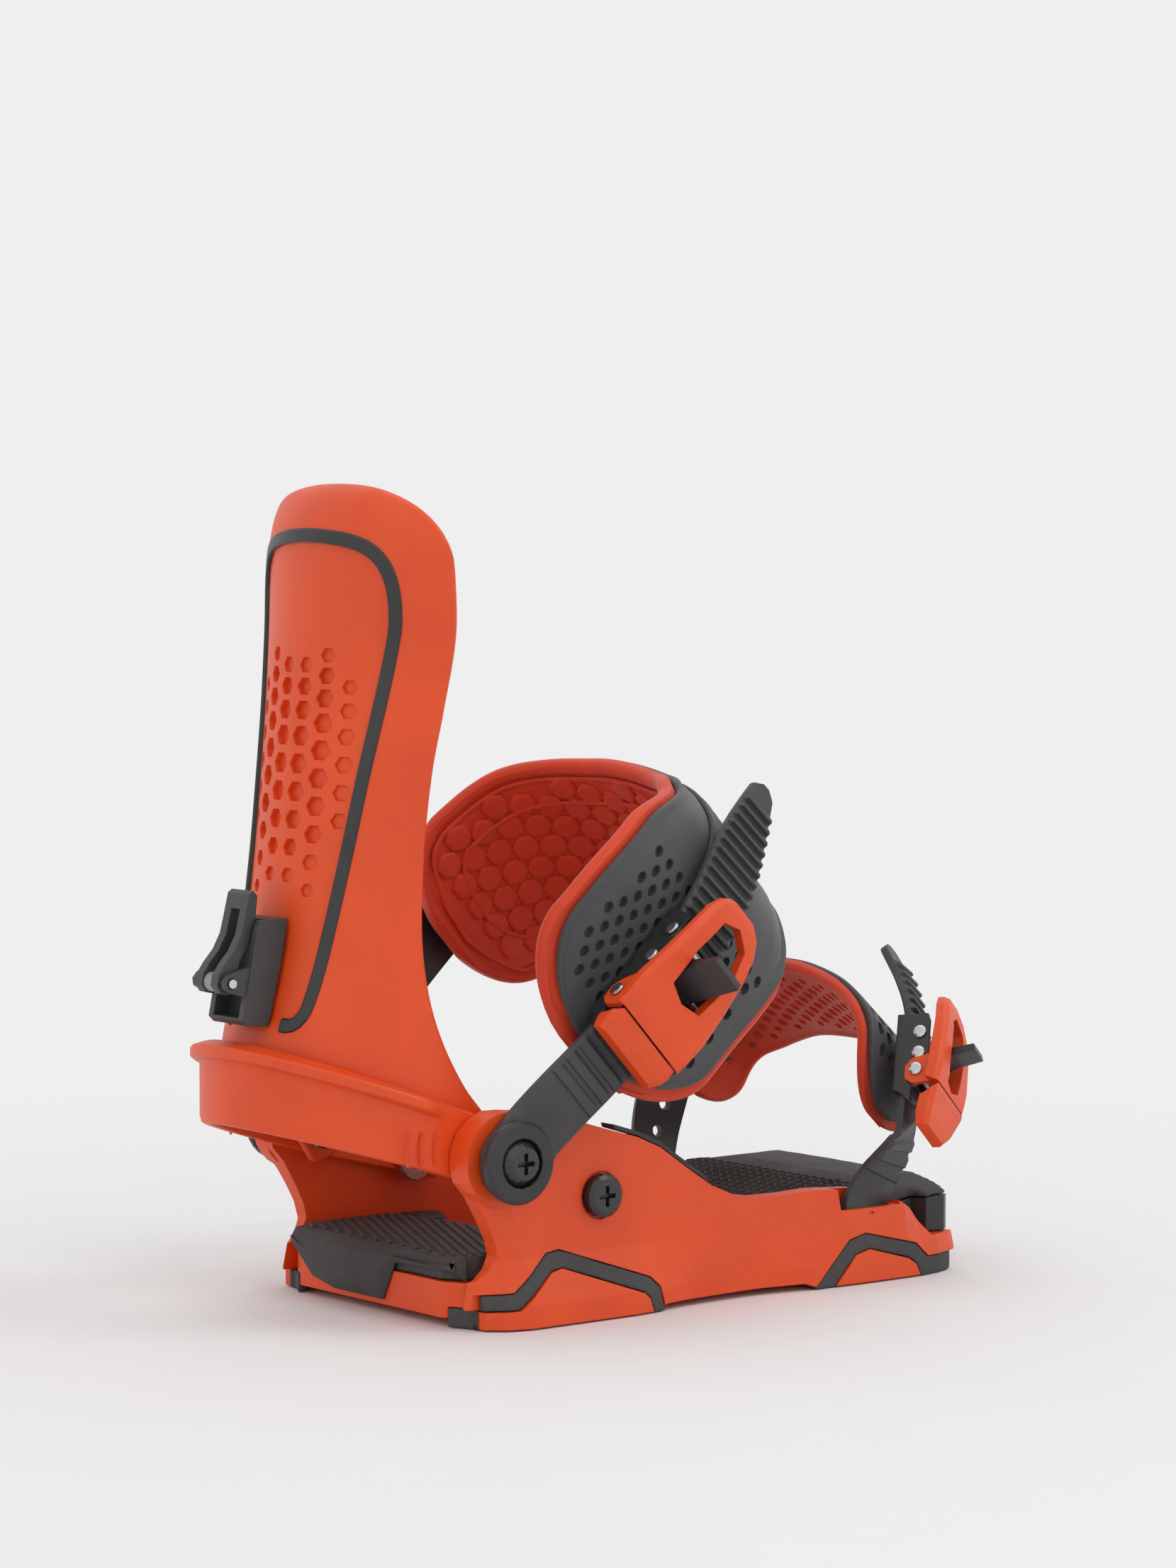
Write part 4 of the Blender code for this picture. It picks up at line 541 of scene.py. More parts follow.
# ---- highback ----
@dataclass
class Highback:
    """Tall curved back panel with an inlaid strip and a field of hexagonal holes."""

    wall: float = 3.6
    top: float = 288.0
    pitch: float = 9.5
    hole: float = 8.0
    hole_stretch: float = 1.15
    bow: float = 2.4
    shoulder: float = 31.0
    hole_middle: float = 192.4
    hole_reach: float = 46.0
    columns: tuple[tuple[float, float, int, int], ...] = (
        (5.3, 0.0, -4, 4), (15.6, 0.5, -5, 4), (25.8, 0.0, -2, 3))    # (q, stagger, lowest, highest)
    recess: float = 1.0
    strip_half: float = 2.4
    strip_path: tuple[tuple[float, float], ...] = (
        (-15.0, 104.4), (-19.0, 104.4), (-22.5, 107.0), (-24.5, 113.0), (-27.5, 140.0), (-33.5, 187.0),
        (-40.2, 228.0), (-41.5, 243.0), (-39.0, 256.0), (-32.0, 264.6), (-20.0, 268.8), (0.0, 270.4))
    strip_section: tuple[tuple[float, float], ...] = (
        (1.0, 1.5), (1.0, -0.2), (0.78, -0.75), (-0.78, -0.75), (-1.0, -0.2), (-1.0, 1.5))

    def point(self, q: float, z: float, inset: float) -> Vector:
        """A point of the shell.

        Args:
            q: distance round from the middle line, near side negative.
            z: height.
            inset: depth from the skin.

        Returns:
            The point in millimetres.
        """
        radius = curve_knots(z, [(98, 48.7), (125, 49.6), (157, 51), (190, 53.5), (211, 56), (237, 61),
                                 (277, 66)])
        rear = curve_knots(z, [(40, -155.4), (80, -155.0), (90, -153.6), (105, -150.4), (125, -145.2),
                               (157, -139.9), (190, -135.8), (211, -133.4), (237, -130.8), (260, -129.2),
                               (272, -127.4), (280, -124.4), (285, -120.9), (288, -116.8)])
        centre, quarter, side = rear + radius, radius * math.pi / 2, -1.0 if q < 0 else 1.0
        if abs(q) <= quarter:
            angle = abs(q) / radius
            return Vector((centre - (radius - inset) * math.cos(angle),
                           side * (radius - inset) * math.sin(angle), z))
        return Vector((centre + (abs(q) - quarter), side * (radius - inset), z))

    def edge(self, z: float) -> float:
        """Distance round from the middle line to the side edge."""
        return curve_knots(z, [(40, 101), (58, 103.5), (70, 98.5), (82, 88), (104, 72), (126, 62.0),
                               (160, 57.4), (191, 57.6), (211, 59.9), (237, 62.6), (262, 61.0), (288, 57.0)])

    def limits(self, share: float) -> tuple[float, float]:
        """Lower and upper edge heights.

        Args:
            share: 0 on the middle line, 1 at the side edge.

        Returns:
            The two heights.
        """
        low = knots(share, [(0.0, 73.5), (0.52, 71.0), (0.78, 56.0), (0.90, 45.6), (0.95, 46.6), (1.0, 53.5)])
        arc = max(0.0, 1 - min(1.0, share) ** self.bow) ** (1 / self.bow)
        return low, self.top - self.shoulder * (1 - arc)

    def panel(self, q: float, z: float) -> float:
        """How far the panel inside the strip lies back from the skin.

        Args:
            q: distance round from the middle line.
            z: height.

        Returns:
            The depth.
        """
        side = line_knots(z, [(104, 20), (113, 24.5), (140, 27.5), (187, 33.5), (228, 40.2), (243, 41.5),
                              (256, 39.0), (264.6, 32.0)])
        across = (side - abs(q)) / 2.0
        up = (line_knots(abs(q), [(0, 270.4), (20, 268.8), (32, 264.6), (39, 256), (41.5, 243)]) - z) / 2.0
        down = (z - 104.4) / 2.0
        return self.recess * knots(min(across, up, down), [(0.0, 0.0), (1.0, 1.0)])

    def shell(self) -> Solid:
        """The shell with rounded rims and the inset panel.

        Returns:
            The shell.
        """
        rim = (0.003, 0.008, 0.016, 0.03)
        outer, inner = [], []
        across = [-1 + 2 * s for s in shares(112, rim)]
        for v in shares(110, (0.0016, 0.0045, 0.0085, 0.014)):
            first, second = [], []
            for u in across:
                low, high = self.limits(abs(u))
                z = low + (high - low) * v
                q = u * self.edge(z)
                depth = min((1 - abs(u)) * self.edge(z), z - low, high - z)
                draw = rounding(depth, self.wall)
                first.append(self.point(q, z, draw + self.panel(q, z)))
                second.append(self.point(q, z, self.wall - draw))
            outer.append(first)
            inner.append(second)
        solid = Solid()
        solid.shell(outer, inner)
        return solid

    def holes(self) -> Solid:
        """Hexagonal pockets in mirrored columns, the outermost ones shallow, and the two pivot holes.

        Returns:
            The cutter.
        """
        solid = Solid()
        for q, stagger, lowest, highest in self.columns:
            for row in range(lowest, highest + 1):
                step = row + stagger
                z = self.hole_middle + self.pitch * step - 0.36 * max(0.0, step) * max(0.0, step - 1)
                away = abs(z - self.hole_middle) / self.hole_reach
                shallow = q > 20 or away > 0.72
                size = self.hole / 2 * (1 - 0.42 * away ** 2) * (0.82 if q > 20 else 1.0)
                depth = self.recess + (1.3 if shallow else 2.1)
                for side in (-1, 1):
                    solid.loft([[self.point(side * q + self.hole_stretch * size * share * c,
                                            z + size * share * d, inset) for c, d in round_turns(6)]
                                for inset, share in ((-2.0, 1.0), (depth, 0.94))])
        for side in (-1, 1):
            solid.bore(Vector((-90, 0, 58.5)), PIVOT_BORE, (side * 40, side * 56))
        return solid

    def strip(self) -> Solid:
        """The inlaid strip, rounded on top.

        Returns:
            The strip.
        """
        near = list(self.strip_path)
        track = Track([(q, 0.0, z) for q, z in near + [(-q, z) for q, z in reversed(near[:-1])]])
        rings = []
        for k in range(181):
            distance = track.length * k / 180
            spot, ahead = track.at(distance), track.ahead(distance)
            across = Vector((ahead.z, 0.0, -ahead.x))
            ring = []
            for w, depth in self.strip_section:
                place = spot + across * self.strip_half * w
                ring.append(self.point(place.x, place.z, depth))
            rings.append(ring)
        return Solid(rings)

    def build(self) -> None:
        """Place the shell and its strip."""
        Piece("highback_panel", self.shell(), ORANGE_NYLON, "highback", "orange_nylon", ("highback_shell",),
              cuts=(self.holes(),)).place()
        Piece("highback_strip", self.strip(), BLACK_ACETAL, "highback", "black_polymer",
              ("highback_inlay",)).place()


# ---- heel hoop ----
@dataclass
class HeelHoop:
    """Band round the heel with a flange on its top edge."""

    rear: float = -161.0
    radius: float = 53.5
    wall: float = 4.2
    flange: float = 3.2
    pivot: tuple[float, float] = (-90.0, 58.5)
    side_bolt: tuple[float, float] = (-47.0, 42.5)
    half_front: float = 11.6
    half_rear: float = 14.2
    slope: float = 0.33
    steps: int = 72

    def middle(self, x: float) -> tuple[float, float]:
        """Height of the band's middle and half its height at a place.

        Args:
            x: place along the binding.

        Returns:
            Middle height and half height.
        """
        px, pz = self.pivot
        share = min(1.0, max(0.0, (px - x) / (px - self.rear)))
        half = self.half_front + (self.half_rear - self.half_front) * share
        if x > px:
            return pz + 1.5 - 0.30 * (x - px), half - 2.6 * (x - px) / 54.0
        return pz + 1.5 + self.slope * (px - x), half

    def ring(self, cx: float, nx: float, ny: float) -> Ring:
        """The band's section at one place.

        Args:
            cx: centre of curvature along the binding.
            nx: outward direction, lengthwise.
            ny: outward direction, crosswise.

        Returns:
            The section's points.
        """
        x = cx + nx * self.radius
        mid, half = self.middle(x)
        flange = self.flange * knots(-x, [(107.5, 0.0), (116, 1.0)])
        profile = [(0.0, -half + 3.0), (0.0, half - 5.6), (flange * 0.7, half - 4.9), (flange, half - 4.0),
                   (flange, half - 1.4), (flange * 0.8, half - 0.5), (-1.0, half + 0.5), (-2.6, half + 0.7),
                   (-3.7, half + 0.4), (-self.wall, half - 0.4), (-self.wall, -half + 0.6),
                   (-self.wall + 0.7, -half), (-1.6, -half), (-0.5, -half + 0.7)]
        return [Vector((cx + nx * (self.radius + out), ny * (self.radius + out), mid + up))
                for out, up in profile]

    def build(self) -> None:
        """Place the hoop, with its bolt holes."""
        arm = [-36.0 - 3.1 * k for k in range(21)]
        centre = self.rear + self.radius
        rings = [self.ring(x, 0.0, -1.0) for x in arm]
        for k in range(self.steps + 1):
            angle = math.radians(-90 - 180 / self.steps * k)
            rings.append(self.ring(centre, math.cos(angle), math.sin(angle)))
        rings += [self.ring(x, 0.0, 1.0) for x in reversed(arm)]
        holes = Solid()
        for side in (-1, 1):
            for x, z in (self.pivot, self.side_bolt):
                holes.bore(Vector((x, 0, z)), PIVOT_BORE, (side * 44, side * 60), 24)
        Piece("heel_hoop", Solid(rings), ORANGE_NYLON, "base", "orange_nylon", ("heelcup",),
              cuts=(holes,)).place()
        self.marks()

    def marks(self) -> None:
        """Raised position arcs on both sides of the pivot."""
        solid = Solid()
        px, pz = self.pivot
        for side in (-1, 1):
            for radius, span in ((22.5, (168, 196)), (28.0, (170, 194)), (33.5, (172, 192))):
                rings = []
                for k in range(15):
                    turn = math.radians(span[0] + (span[1] - span[0]) * k / 14)
                    ring = []
                    for reach, out in ((-0.35, -0.3), (-0.35, 0.28), (0.35, 0.28), (0.35, -0.3)):
                        x = px + (radius + reach) * math.cos(turn)
                        z = pz + 4 - (radius + reach) * math.sin(turn)
                        ring.append(Vector((x, side * (self.radius + out), z)))
                    rings.append(ring)
                solid.loft(rings)
        Piece("hoop_position_arcs", solid, ORANGE_NYLON, "base", "orange_nylon").place()


# ---- strap pads ----
@dataclass
class Arch:
    """The surface a strap's pad follows over the foot."""

    origin: tuple[float, float, float]
    angle: float
    path: tuple[tuple[float, float], ...]
    half: Callable[[float, float], float]
    centre: Callable[[float], float]
    draw: float = 0.0
    draw_from: float = 44.0
    track: Track = field(init=False)

    def __post_init__(self) -> None:
        """Sample the path and fix the strap's directions."""
        self.track = Track([(a, y, 0.0) for a, y in self.path])
        tilt = math.radians(self.angle)
        self.along = Vector((math.cos(tilt), 0, math.sin(tilt)))
        self.up = Vector((-math.sin(tilt), 0, math.cos(tilt)))

    def at(self, s: float, w: float, offset: float) -> Vector:
        """A point of the strap.

        Args:
            s: distance along the arch from its near end.
            w: distance across, positive to the upper edge.
            offset: distance out from the inner face.

        Returns:
            The point in millimetres.
        """
        ahead = self.track.ahead(s)
        spot = self.track.at(s) + Vector((ahead.y, -ahead.x, 0.0)) * offset
        y = spot.y * (1 - self.draw * (self.draw_from - w))
        return Vector(self.origin) + self.along * spot.x + self.up * w + Vector((0, y, 0))

    def band(self, s: float, inset: float) -> tuple[float, float]:
        """Middle and half width of the pad at a place along the arch.

        Args:
            s: distance along the arch.
            inset: how far the layer's edge lies inside the liner's.

        Returns:
            Middle and half width.
        """
        length = self.track.length
        share = min(1.0, max(0.0, (s - inset) / (length - 2 * inset)))
        return self.centre(s / length), self.half(share, inset)

    def layer(self, low: float, high: float, inset: float, swell: Swell,
              counts: tuple[int, int] = (130, 44)) -> Solid:
        """A closed layer of the pad with rounded rims.

        Args:
            low: distance of its inner face.
            high: distance of its outer face.
            inset: how far its edge lies inside the liner's.
            swell: extra inner and outer height for a place and a depth from the edge.
            counts: steps along and across.

        Returns:
            The layer.
        """
        length = self.track.length - 2 * inset
        outer, inner = [], []
        for u in shares(counts[0], (0.002, 0.006, 0.012)):
            s = inset + u * length
            mid, half = self.band(s, inset)
            first, second = [], []
            for v in shares(counts[1], (0.006, 0.02, 0.045)):
                depth = min(half * (1 - abs(2 * v - 1)), s - inset, length + inset - s)
                draw = rounding(depth, high - low)
                inside, outside = swell(s, depth)
                w = mid + half * (2 * v - 1)
                first.append(self.at(s, w, high - draw + outside))
                second.append(self.at(s, w, low + draw - inside))
            outer.append(first)
            inner.append(second)
        solid = Solid()
        solid.shell(outer, inner)
        return solid

    def tile(self, solid: Solid, s: float, w: float, size: float, levels: Table, sides: int = 6,
             stretch: float = 1.0) -> None:
        """Add a many-sided boss or cutter that follows the strap.

        Args:
            solid: the mesh to add to.
            s: its middle along the arch.
            w: its middle across.
            size: its half width.
            levels: (offset, share of the size) for each ring.
            sides: corners.
            stretch: how much longer it is along the arch.
        """
        rings = []
        for offset, share in levels:
            ring = []
            for k in range(sides):
                turn = math.tau * k / sides + math.radians(30)
                ring.append(self.at(s + size * share * stretch * math.cos(turn),
                                    w + size * share * math.sin(turn), offset))
            rings.append(ring)
        solid.loft(rings)

    def field(self, pitch: float, span: tuple[float, float], inset: float,
              margin: float) -> list[tuple[float, float, float]]:
        """Centres of a staggered field.

        Args:
            pitch: distance between neighbours.
            span: first and last place along the arch.
            inset: layer inset for the band's width.
            margin: distance kept from the edge.

        Returns:
            (s, w, distance from the edge) for each centre.
        """
        found = []
        step = pitch * math.cos(math.radians(30))
        for i in range(int((span[1] - span[0]) / step) + 1):
            s = span[0] + i * step
            mid, half = self.band(s, inset)
            ends = min(s, self.track.length - s)
            for j in range(-12, 13):
                w = (j + (0.5 if i % 2 else 0.0)) * pitch
                depth = min(half - abs(w - mid), ends)
                if depth >= margin:
                    found.append((s, w, depth))
        return found

    def bead(self, solid: Solid, inset: float, level: float, radius: float) -> None:
        """A rounded contour bead that follows the pad's edge.

        Args:
            solid: the mesh to add to.
            inset: its distance from the edge.
            level: its distance out from the inner face.
            radius: its half width.
        """
        length = self.track.length
        places = []
        count = 150
        for side in (1, -1):
            for k in range(count):
                s = inset + (length - 2 * inset) * (k if side > 0 else count - k) / count
                mid, half = self.band(s, 0.0)
                end = min(1.0, min(s - inset, length - inset - s) / 12.0 + 0.02)
                places.append((s, mid + side * max(0.0, half - inset) * round_end(end, 0.02)))
        points = [self.at(s, w, level) for s, w in places]
        outs = [(self.at(s, w, level + 1) - self.at(s, w, level)).normalized() for s, w in places]
        rings = []
        for k, point in enumerate(points):
            ahead = (points[(k + 1) % len(points)] - points[k - 1]).normalized()
            across = outs[k].cross(ahead).normalized()
            rings.append([point + across * radius * c + outs[k] * radius * 0.8 * d
                          for c, d in round_turns(8)])
        solid.loft(rings + [rings[0]], closed=False)


def ankle_half(share: float, inset: float) -> float:
    """Half width of an ankle layer.

    Args:
        share: place along its arch, from 0 to 1.
        inset: how far its edge lies inside the liner's.

    Returns:
        The half width.
    """
    base = knots(share, [(0.0, 47), (0.30, 47), (0.42, 38.5), (0.52, 33.5), (0.64, 35), (0.80, 40.5),
                         (1.0, 41)])
    curve = round_end(min(1.0, share / 0.125)) * round_end(min(1.0, (1.0 - share) / 0.115))
    return max(8.0, (base - inset) * curve)


def ankle_centre(share: float) -> float:
    """Where the middle of the ankle pad lies across the strap."""
    return knots(share, [(0.0, 3.0), (0.15, -0.5), (0.5, -8.5), (0.85, -2.5), (1.0, -2.0)])


def toe_half(share: float, inset: float) -> float:
    """Half width of a toe layer.

    Args:
        share: place along its arch, from 0 to 1.
        inset: how far its edge lies inside the liner's.

    Returns:
        The half width.
    """
    base = line_knots(share, [(0.0, 20), (0.14, 22), (0.4, 24.5), (0.75, 25.5), (1.0, 22)])
    curve = round_end(min(1.0, share / 0.08)) * round_end(min(1.0, (1.0 - share) / 0.10))
    return max(5.0, (base - inset) * curve)


def toe_centre(share: float) -> float:
    """Where the middle of the toe strap lies across its plane."""
    return knots(share, [(0.0, 10.0), (0.18, 21.0), (0.5, 23.0), (0.8, 17.0), (1.0, 6.0)])


@dataclass
class AnklePad:
    """Liner with raised cells, pressed upper with perforations, and a ridged outer frame."""

    liner: float = 5.0
    gap: float = 0.3
    upper: float = 3.0
    frame: float = 2.4
    upper_inset: float = 4.2
    cell: float = 10.6
    arch: Arch = field(default_factory=lambda: Arch(
        (-90.0, 0.0, 58.5), 43.0,
        ((47, -57.2), (66, -58.5), (90, -58.6), (116, -56.5), (138, -48), (153, -27), (158, 0), (153, 27),
         (138, 48), (116, 56.5), (91, 58.6)), ankle_half, ankle_centre))

    def build(self) -> None:
        """Place every layer."""
        arch = self.arch
        length = arch.track.length

        def roll(s: float, depth: float) -> tuple[float, float]:
            """Inner and outer height of a rolled rim beside the upper, and of a cushioned inner face."""
            rim = knots(depth, [(0.0, 0.0), (1.2, 0.8), (2.8, 0.7), (3.9, 0.0)])
            return knots(depth, [(0.0, 0.0), (3.0, 0.5), (5.2, -0.6), (6.6, -0.6), (9.0, 0.3)]), rim

        Piece("ankle_pad_liner", arch.layer(0.0, self.liner, 0.0, roll, (170, 56)), ORANGE_FOAM,
              "ankle_strap", "orange_liner", ("ankle_liner",), fill=0.8).place()
        cells = Solid()
        for s, w, _ in arch.field(self.cell, (10.0, length - 10.0), 0.0, 9.5):
            arch.tile(cells, s, w, self.cell * 0.53, [(0.6, 1.0), (-0.9, 1.0), (-1.5, 0.88), (-1.6, 0.6)])
        arch.bead(cells, 6.5, -0.3, 1.0)
        arch.bead(cells, 18.0, -1.2, 1.0)
        Piece("ankle_pad_cells", cells, ORANGE_FOAM, "ankle_strap", "orange_liner", crease=50,
              fill=0.8).place()
        low = self.liner + self.gap
        high = low + self.upper

        def press(s: float, depth: float) -> tuple[float, float]:
            """Inner and outer height of a stitched channel round the upper, and of a soft crown inside it.

            Args:
                s: distance along the arch; not used.
                depth: distance from the edge.

            Returns:
                The two heights.
            """
            channel = -0.7 * math.exp(-((depth - 3.4) / 0.7) ** 2)
            crown = knots(depth, [(4.5, 0.0), (11.0, 0.9)])
            return 0.0, channel + crown

        holes = Solid()
        for span in ((18.0, 74.0), (length - 74.0, length - 18.0)):
            for s, w, _ in arch.field(6.6, span, self.upper_inset, 9.0):
                arch.tile(holes, s, w, 1.9, [(high + 4, 1.0), (high - 1.4, 0.9)], 8, 1.35)
        Piece("ankle_pad_upper", arch.layer(low, high, self.upper_inset, press, (150, 48)), CHARCOAL_UPPER,
              "ankle_strap", "charcoal_upper", ("ankle_shell",), cuts=(holes,), fill=0.9).place()
        self.outer_frame(high + self.gap)

    def outer_frame(self, low: float) -> None:
        """The black band over the upper, ridged along its length.

        Args:
            low: distance of its inner face.
        """
        arch = self.arch
        length = arch.track.length
        outer, inner = [], []
        start, stop = 27.0, length - 9.0
        for u in shares(120, (0.003, 0.01)):
            s = start + (stop - start) * u
            half = knots(u, [(0.0, 7.0), (0.3, 11.5), (0.5, 13.0), (0.8, 13.0), (1.0, 9.0)])
            first, second = [], []
            for v in shares(40, (0.01, 0.03)):
                w = half * (2 * v - 1)
                depth = min(half - abs(w), s - start, stop - s)
                draw = rounding(depth, self.frame)
                ridge = 0.45 * math.cos(w * math.tau / 4.2) * knots(depth, [(1.5, 0.0), (3.0, 1.0)])
                first.append(arch.at(s, w, low + self.frame - draw + ridge))
                second.append(arch.at(s, w, low + draw))
            outer.append(first)
            inner.append(second)
        solid = Solid()
        solid.shell(outer, inner)
        Piece("ankle_pad_frame", solid, BLACK_ACETAL, "ankle_strap", "black_polymer",
              ("ankle_exo_frame",)).place()


@dataclass
class ToePad:
    """Perforated liner with a narrower moulded cover."""

    liner: float = 3.0
    gap: float = 0.3
    cover: float = 2.6
    cover_inset: float = 3.2
    arch: Arch = field(default_factory=lambda: Arch(
        (74.6, 0.0, 27.5), 52.0,
        ((30, -60.6), (42, -61.4), (54, -56.8), (63.5, -40), (68, -20), (68.6, 0), (68, 20), (63.5, 40),
         (54, 55.5), (42, 61.5), (33, 61)), toe_half, toe_centre, 0.0030))

    def build(self) -> None:
        """Place the liner and the cover, with holes through both."""
        arch = self.arch
        length = arch.track.length

        def rim(s: float, depth: float) -> tuple[float, float]:
            """A rolled rim just outside the cover's edge."""
            outside = knots(depth, [(0.0, 0.2), (1.0, 0.9), (2.8, 0.0)])
            return knots(depth, [(0.0, 0.0), (2.0, 0.5), (4.0, 0.0)]), outside

        def cover(s: float, depth: float) -> tuple[float, float]:
            """A stitched channel inside the cover's edge."""
            return 0.0, -0.6 * math.exp(-((depth - 2.6) / 0.6) ** 2)

        through, sunk = Solid(), Solid()
        top = self.liner + self.gap + self.cover
        for s, w, depth in arch.field(6.8, (18.0, length - 18.0), 0.0, 7.6):
            size = 2.5 if depth > 11 else 1.9
            arch.tile(through, s, w, size, [(top + 4, 1.0), (-3.0, 1.0)])
            arch.tile(sunk, s, w, size, [(top + 4, 1.0), (-3.0, 1.0)])
        Piece("toe_pad_liner", arch.layer(0.0, self.liner, 0.0, rim, (130, 40)), ORANGE_FOAM, "toe_strap",
              "orange_liner", ("toe_liner",), cuts=(through,), fill=0.8).place()
        low = self.liner + self.gap
        Piece("toe_pad_cover", arch.layer(low, top, self.cover_inset, cover, (120, 36)), CHARCOAL_UPPER,
              "toe_strap", "charcoal_upper", ("toe_shell",), cuts=(sunk,), fill=0.9).place()


# ---- ladders ----
@dataclass
class Ladder:
    """Toothed strap that runs from the base through a buckle."""

    name: str
    node: str
    body: str
    path: tuple[tuple[float, float, float], ...]
    width: float
    thick: float
    back: float
    wide_ribs: tuple[float, float, float]
    teeth: tuple[float, float, float]
    taper: float
    tip: float
    bore: tuple[tuple[float, float, float], float]
    outward: Callable[[Vector], Vector]
    round_start: float = 0.0
    lift: Callable[[float], tuple[float, float]] = lambda s: (0.0, 0.0)

    def stations(self, length: float) -> list[tuple[float, float]]:
        """Where the outer face rises and falls.

        Args:
            length: the strap's length.

        Returns:
            (distance, extra height) in order.
        """
        marks = {round(length * k / 70, 3): 0.0 for k in range(71)}
        for (first, last, pitch), height, crest in ((self.wide_ribs, 0.9, 0.5), (self.teeth, 1.6, 0.24)):
            for spot in [m for m in marks if first - pitch * 0.5 < m < last + pitch * 0.5]:
                del marks[spot]
            s = first
            while s < last:
                for share, level in ((0.0, 0.0), (0.10, height), (0.10 + crest, height), (0.80, 0.0)):
                    marks[round(s + share * pitch, 3)] = level
                s += pitch
        return sorted(marks.items())

    def build(self) -> None:
        """Place the ladder."""
        track = Track(self.path)
        rings = []
        for s, rise in self.stations(track.length):
            half = self.width / 2
            if s < self.round_start:
                half *= round_end(s / self.round_start, 0.05)
            left = track.length - s
            if left < self.taper:
                half *= self.tip + (1 - self.tip) * math.sin(max(0.0, left / self.taper) * math.pi / 2)
            if left < 3.0:
                half *= round_end(left / 3.0, 0.12)
            ahead = track.ahead(s)
            out = self.outward(track.at(s))
            out = (out - out.dot(ahead) * ahead).normalized()
            across = out.cross(ahead)
            more_back, more_top = self.lift(s)
            top, low = self.thick + rise + more_top, -self.back - more_back
            rim = min(half * 0.12, 1.0)
            shape = ((-half, low + 0.5), (-half + 0.5, low), (half - 0.5, low), (half, low + 0.5),
                     (half, self.thick + more_top - 0.5), (half - rim, top), (-half + rim, top),
                     (-half, self.thick + more_top - 0.5))
            rings.append([track.at(s) + across * w + out * o for w, o in shape])
        hole = Solid()
        place, radius = self.bore
        hole.bore(Vector(place), radius, (-14, 14))
        Piece(self.name, Solid(rings), CHARCOAL_URETHANE, self.body, "charcoal_polymer", (self.node,),
              cuts=(hole,), crease=28).place()


class Ladders:
    """Both ladders of the binding."""

    ankle: tuple[tuple[float, float], ...] = (
        (-12.3, 66.7), (0.0, 66.7), (14.0, 66.8), (28.0, 68.8), (42.0, 71.6), (56.0, 73.3), (78.0, 73.3),
        (102.0, 73.3), (118.0, 71.8), (136.0, 67.2), (152.0, 61.8), (173.0, 55.0))
    toe: tuple[tuple[float, float, float], ...] = (
        (74.4, -61.0, 21.0), (74.6, -61.0, 24.0), (77.0, -62.4, 32.0), (82.2, -66.6, 43.0),
        (85.8, -70.9, 53.0), (87.4, -73.2, 62.0), (93.9, -67.7, 76.2), (100.4, -62.2, 90.4),
        (105.0, -51.6, 104.6), (107.0, -38.4, 118.0))

    @staticmethod
    def toe_out(point: Vector) -> Vector:
        """The way the toe ladder faces at a height.

        Args:
            point: a point on the ladder.

        Returns:
            The outward direction.
        """
        turn = knots(point.z, [(24, 0.0), (62, 1.0), (92, 1.0)])
        lift = knots(point.z, [(90, 0.0), (118, 0.35)])
        return Vector((0.51 * turn, -(1 - 0.145 * turn), 0.096 * turn + lift))

    def build(self) -> None:
        """Place both ladders."""
        tilt = math.radians(43.0)
        along, up = Vector((math.cos(tilt), 0, math.sin(tilt))), Vector((-math.sin(tilt), 0, math.cos(tilt)))
        path = []
        for a, y in self.ankle:
            w = line_knots(a, [(-20, 0.0), (102, 0.0), (173, 5.5)])
            path.append(tuple(Vector((-90.0, -y, 58.5)) + along * a + up * w))
        Ladder("ankle_ladder_strap", "ankle_ladder", "ankle_strap", tuple(path), 25.0, 1.3, 1.5,
               (44.0, 68.0, 6.2), (100.0, 178.0, 4.5), 46.0, 0.42, ((-90.0, -66.7, 58.5), 3.3),
               lambda point: Vector((0, -1, 0)), 12.5, lambda s: (0.0, 0.9 if s < 26 else 0.0)).build()

        def eye(s: float) -> tuple[float, float]:
            """Extra thickness round the anchor pin."""
            grow = knots(s, [(0.0, 0.5), (1.0, 1.3), (5.2, 1.3), (8.0, 0.0)])
            return grow, grow

        Ladder("toe_ladder_strap", "toe_ladder", "toe_strap", self.toe, 20.0, 1.5, 1.5, (19.0, 31.0, 5.6),
               (48.0, 104.0, 4.2), 44.0, 0.40, ((74.6, -61.0, 24.0), 1.8), self.toe_out, 0.0, eye).build()


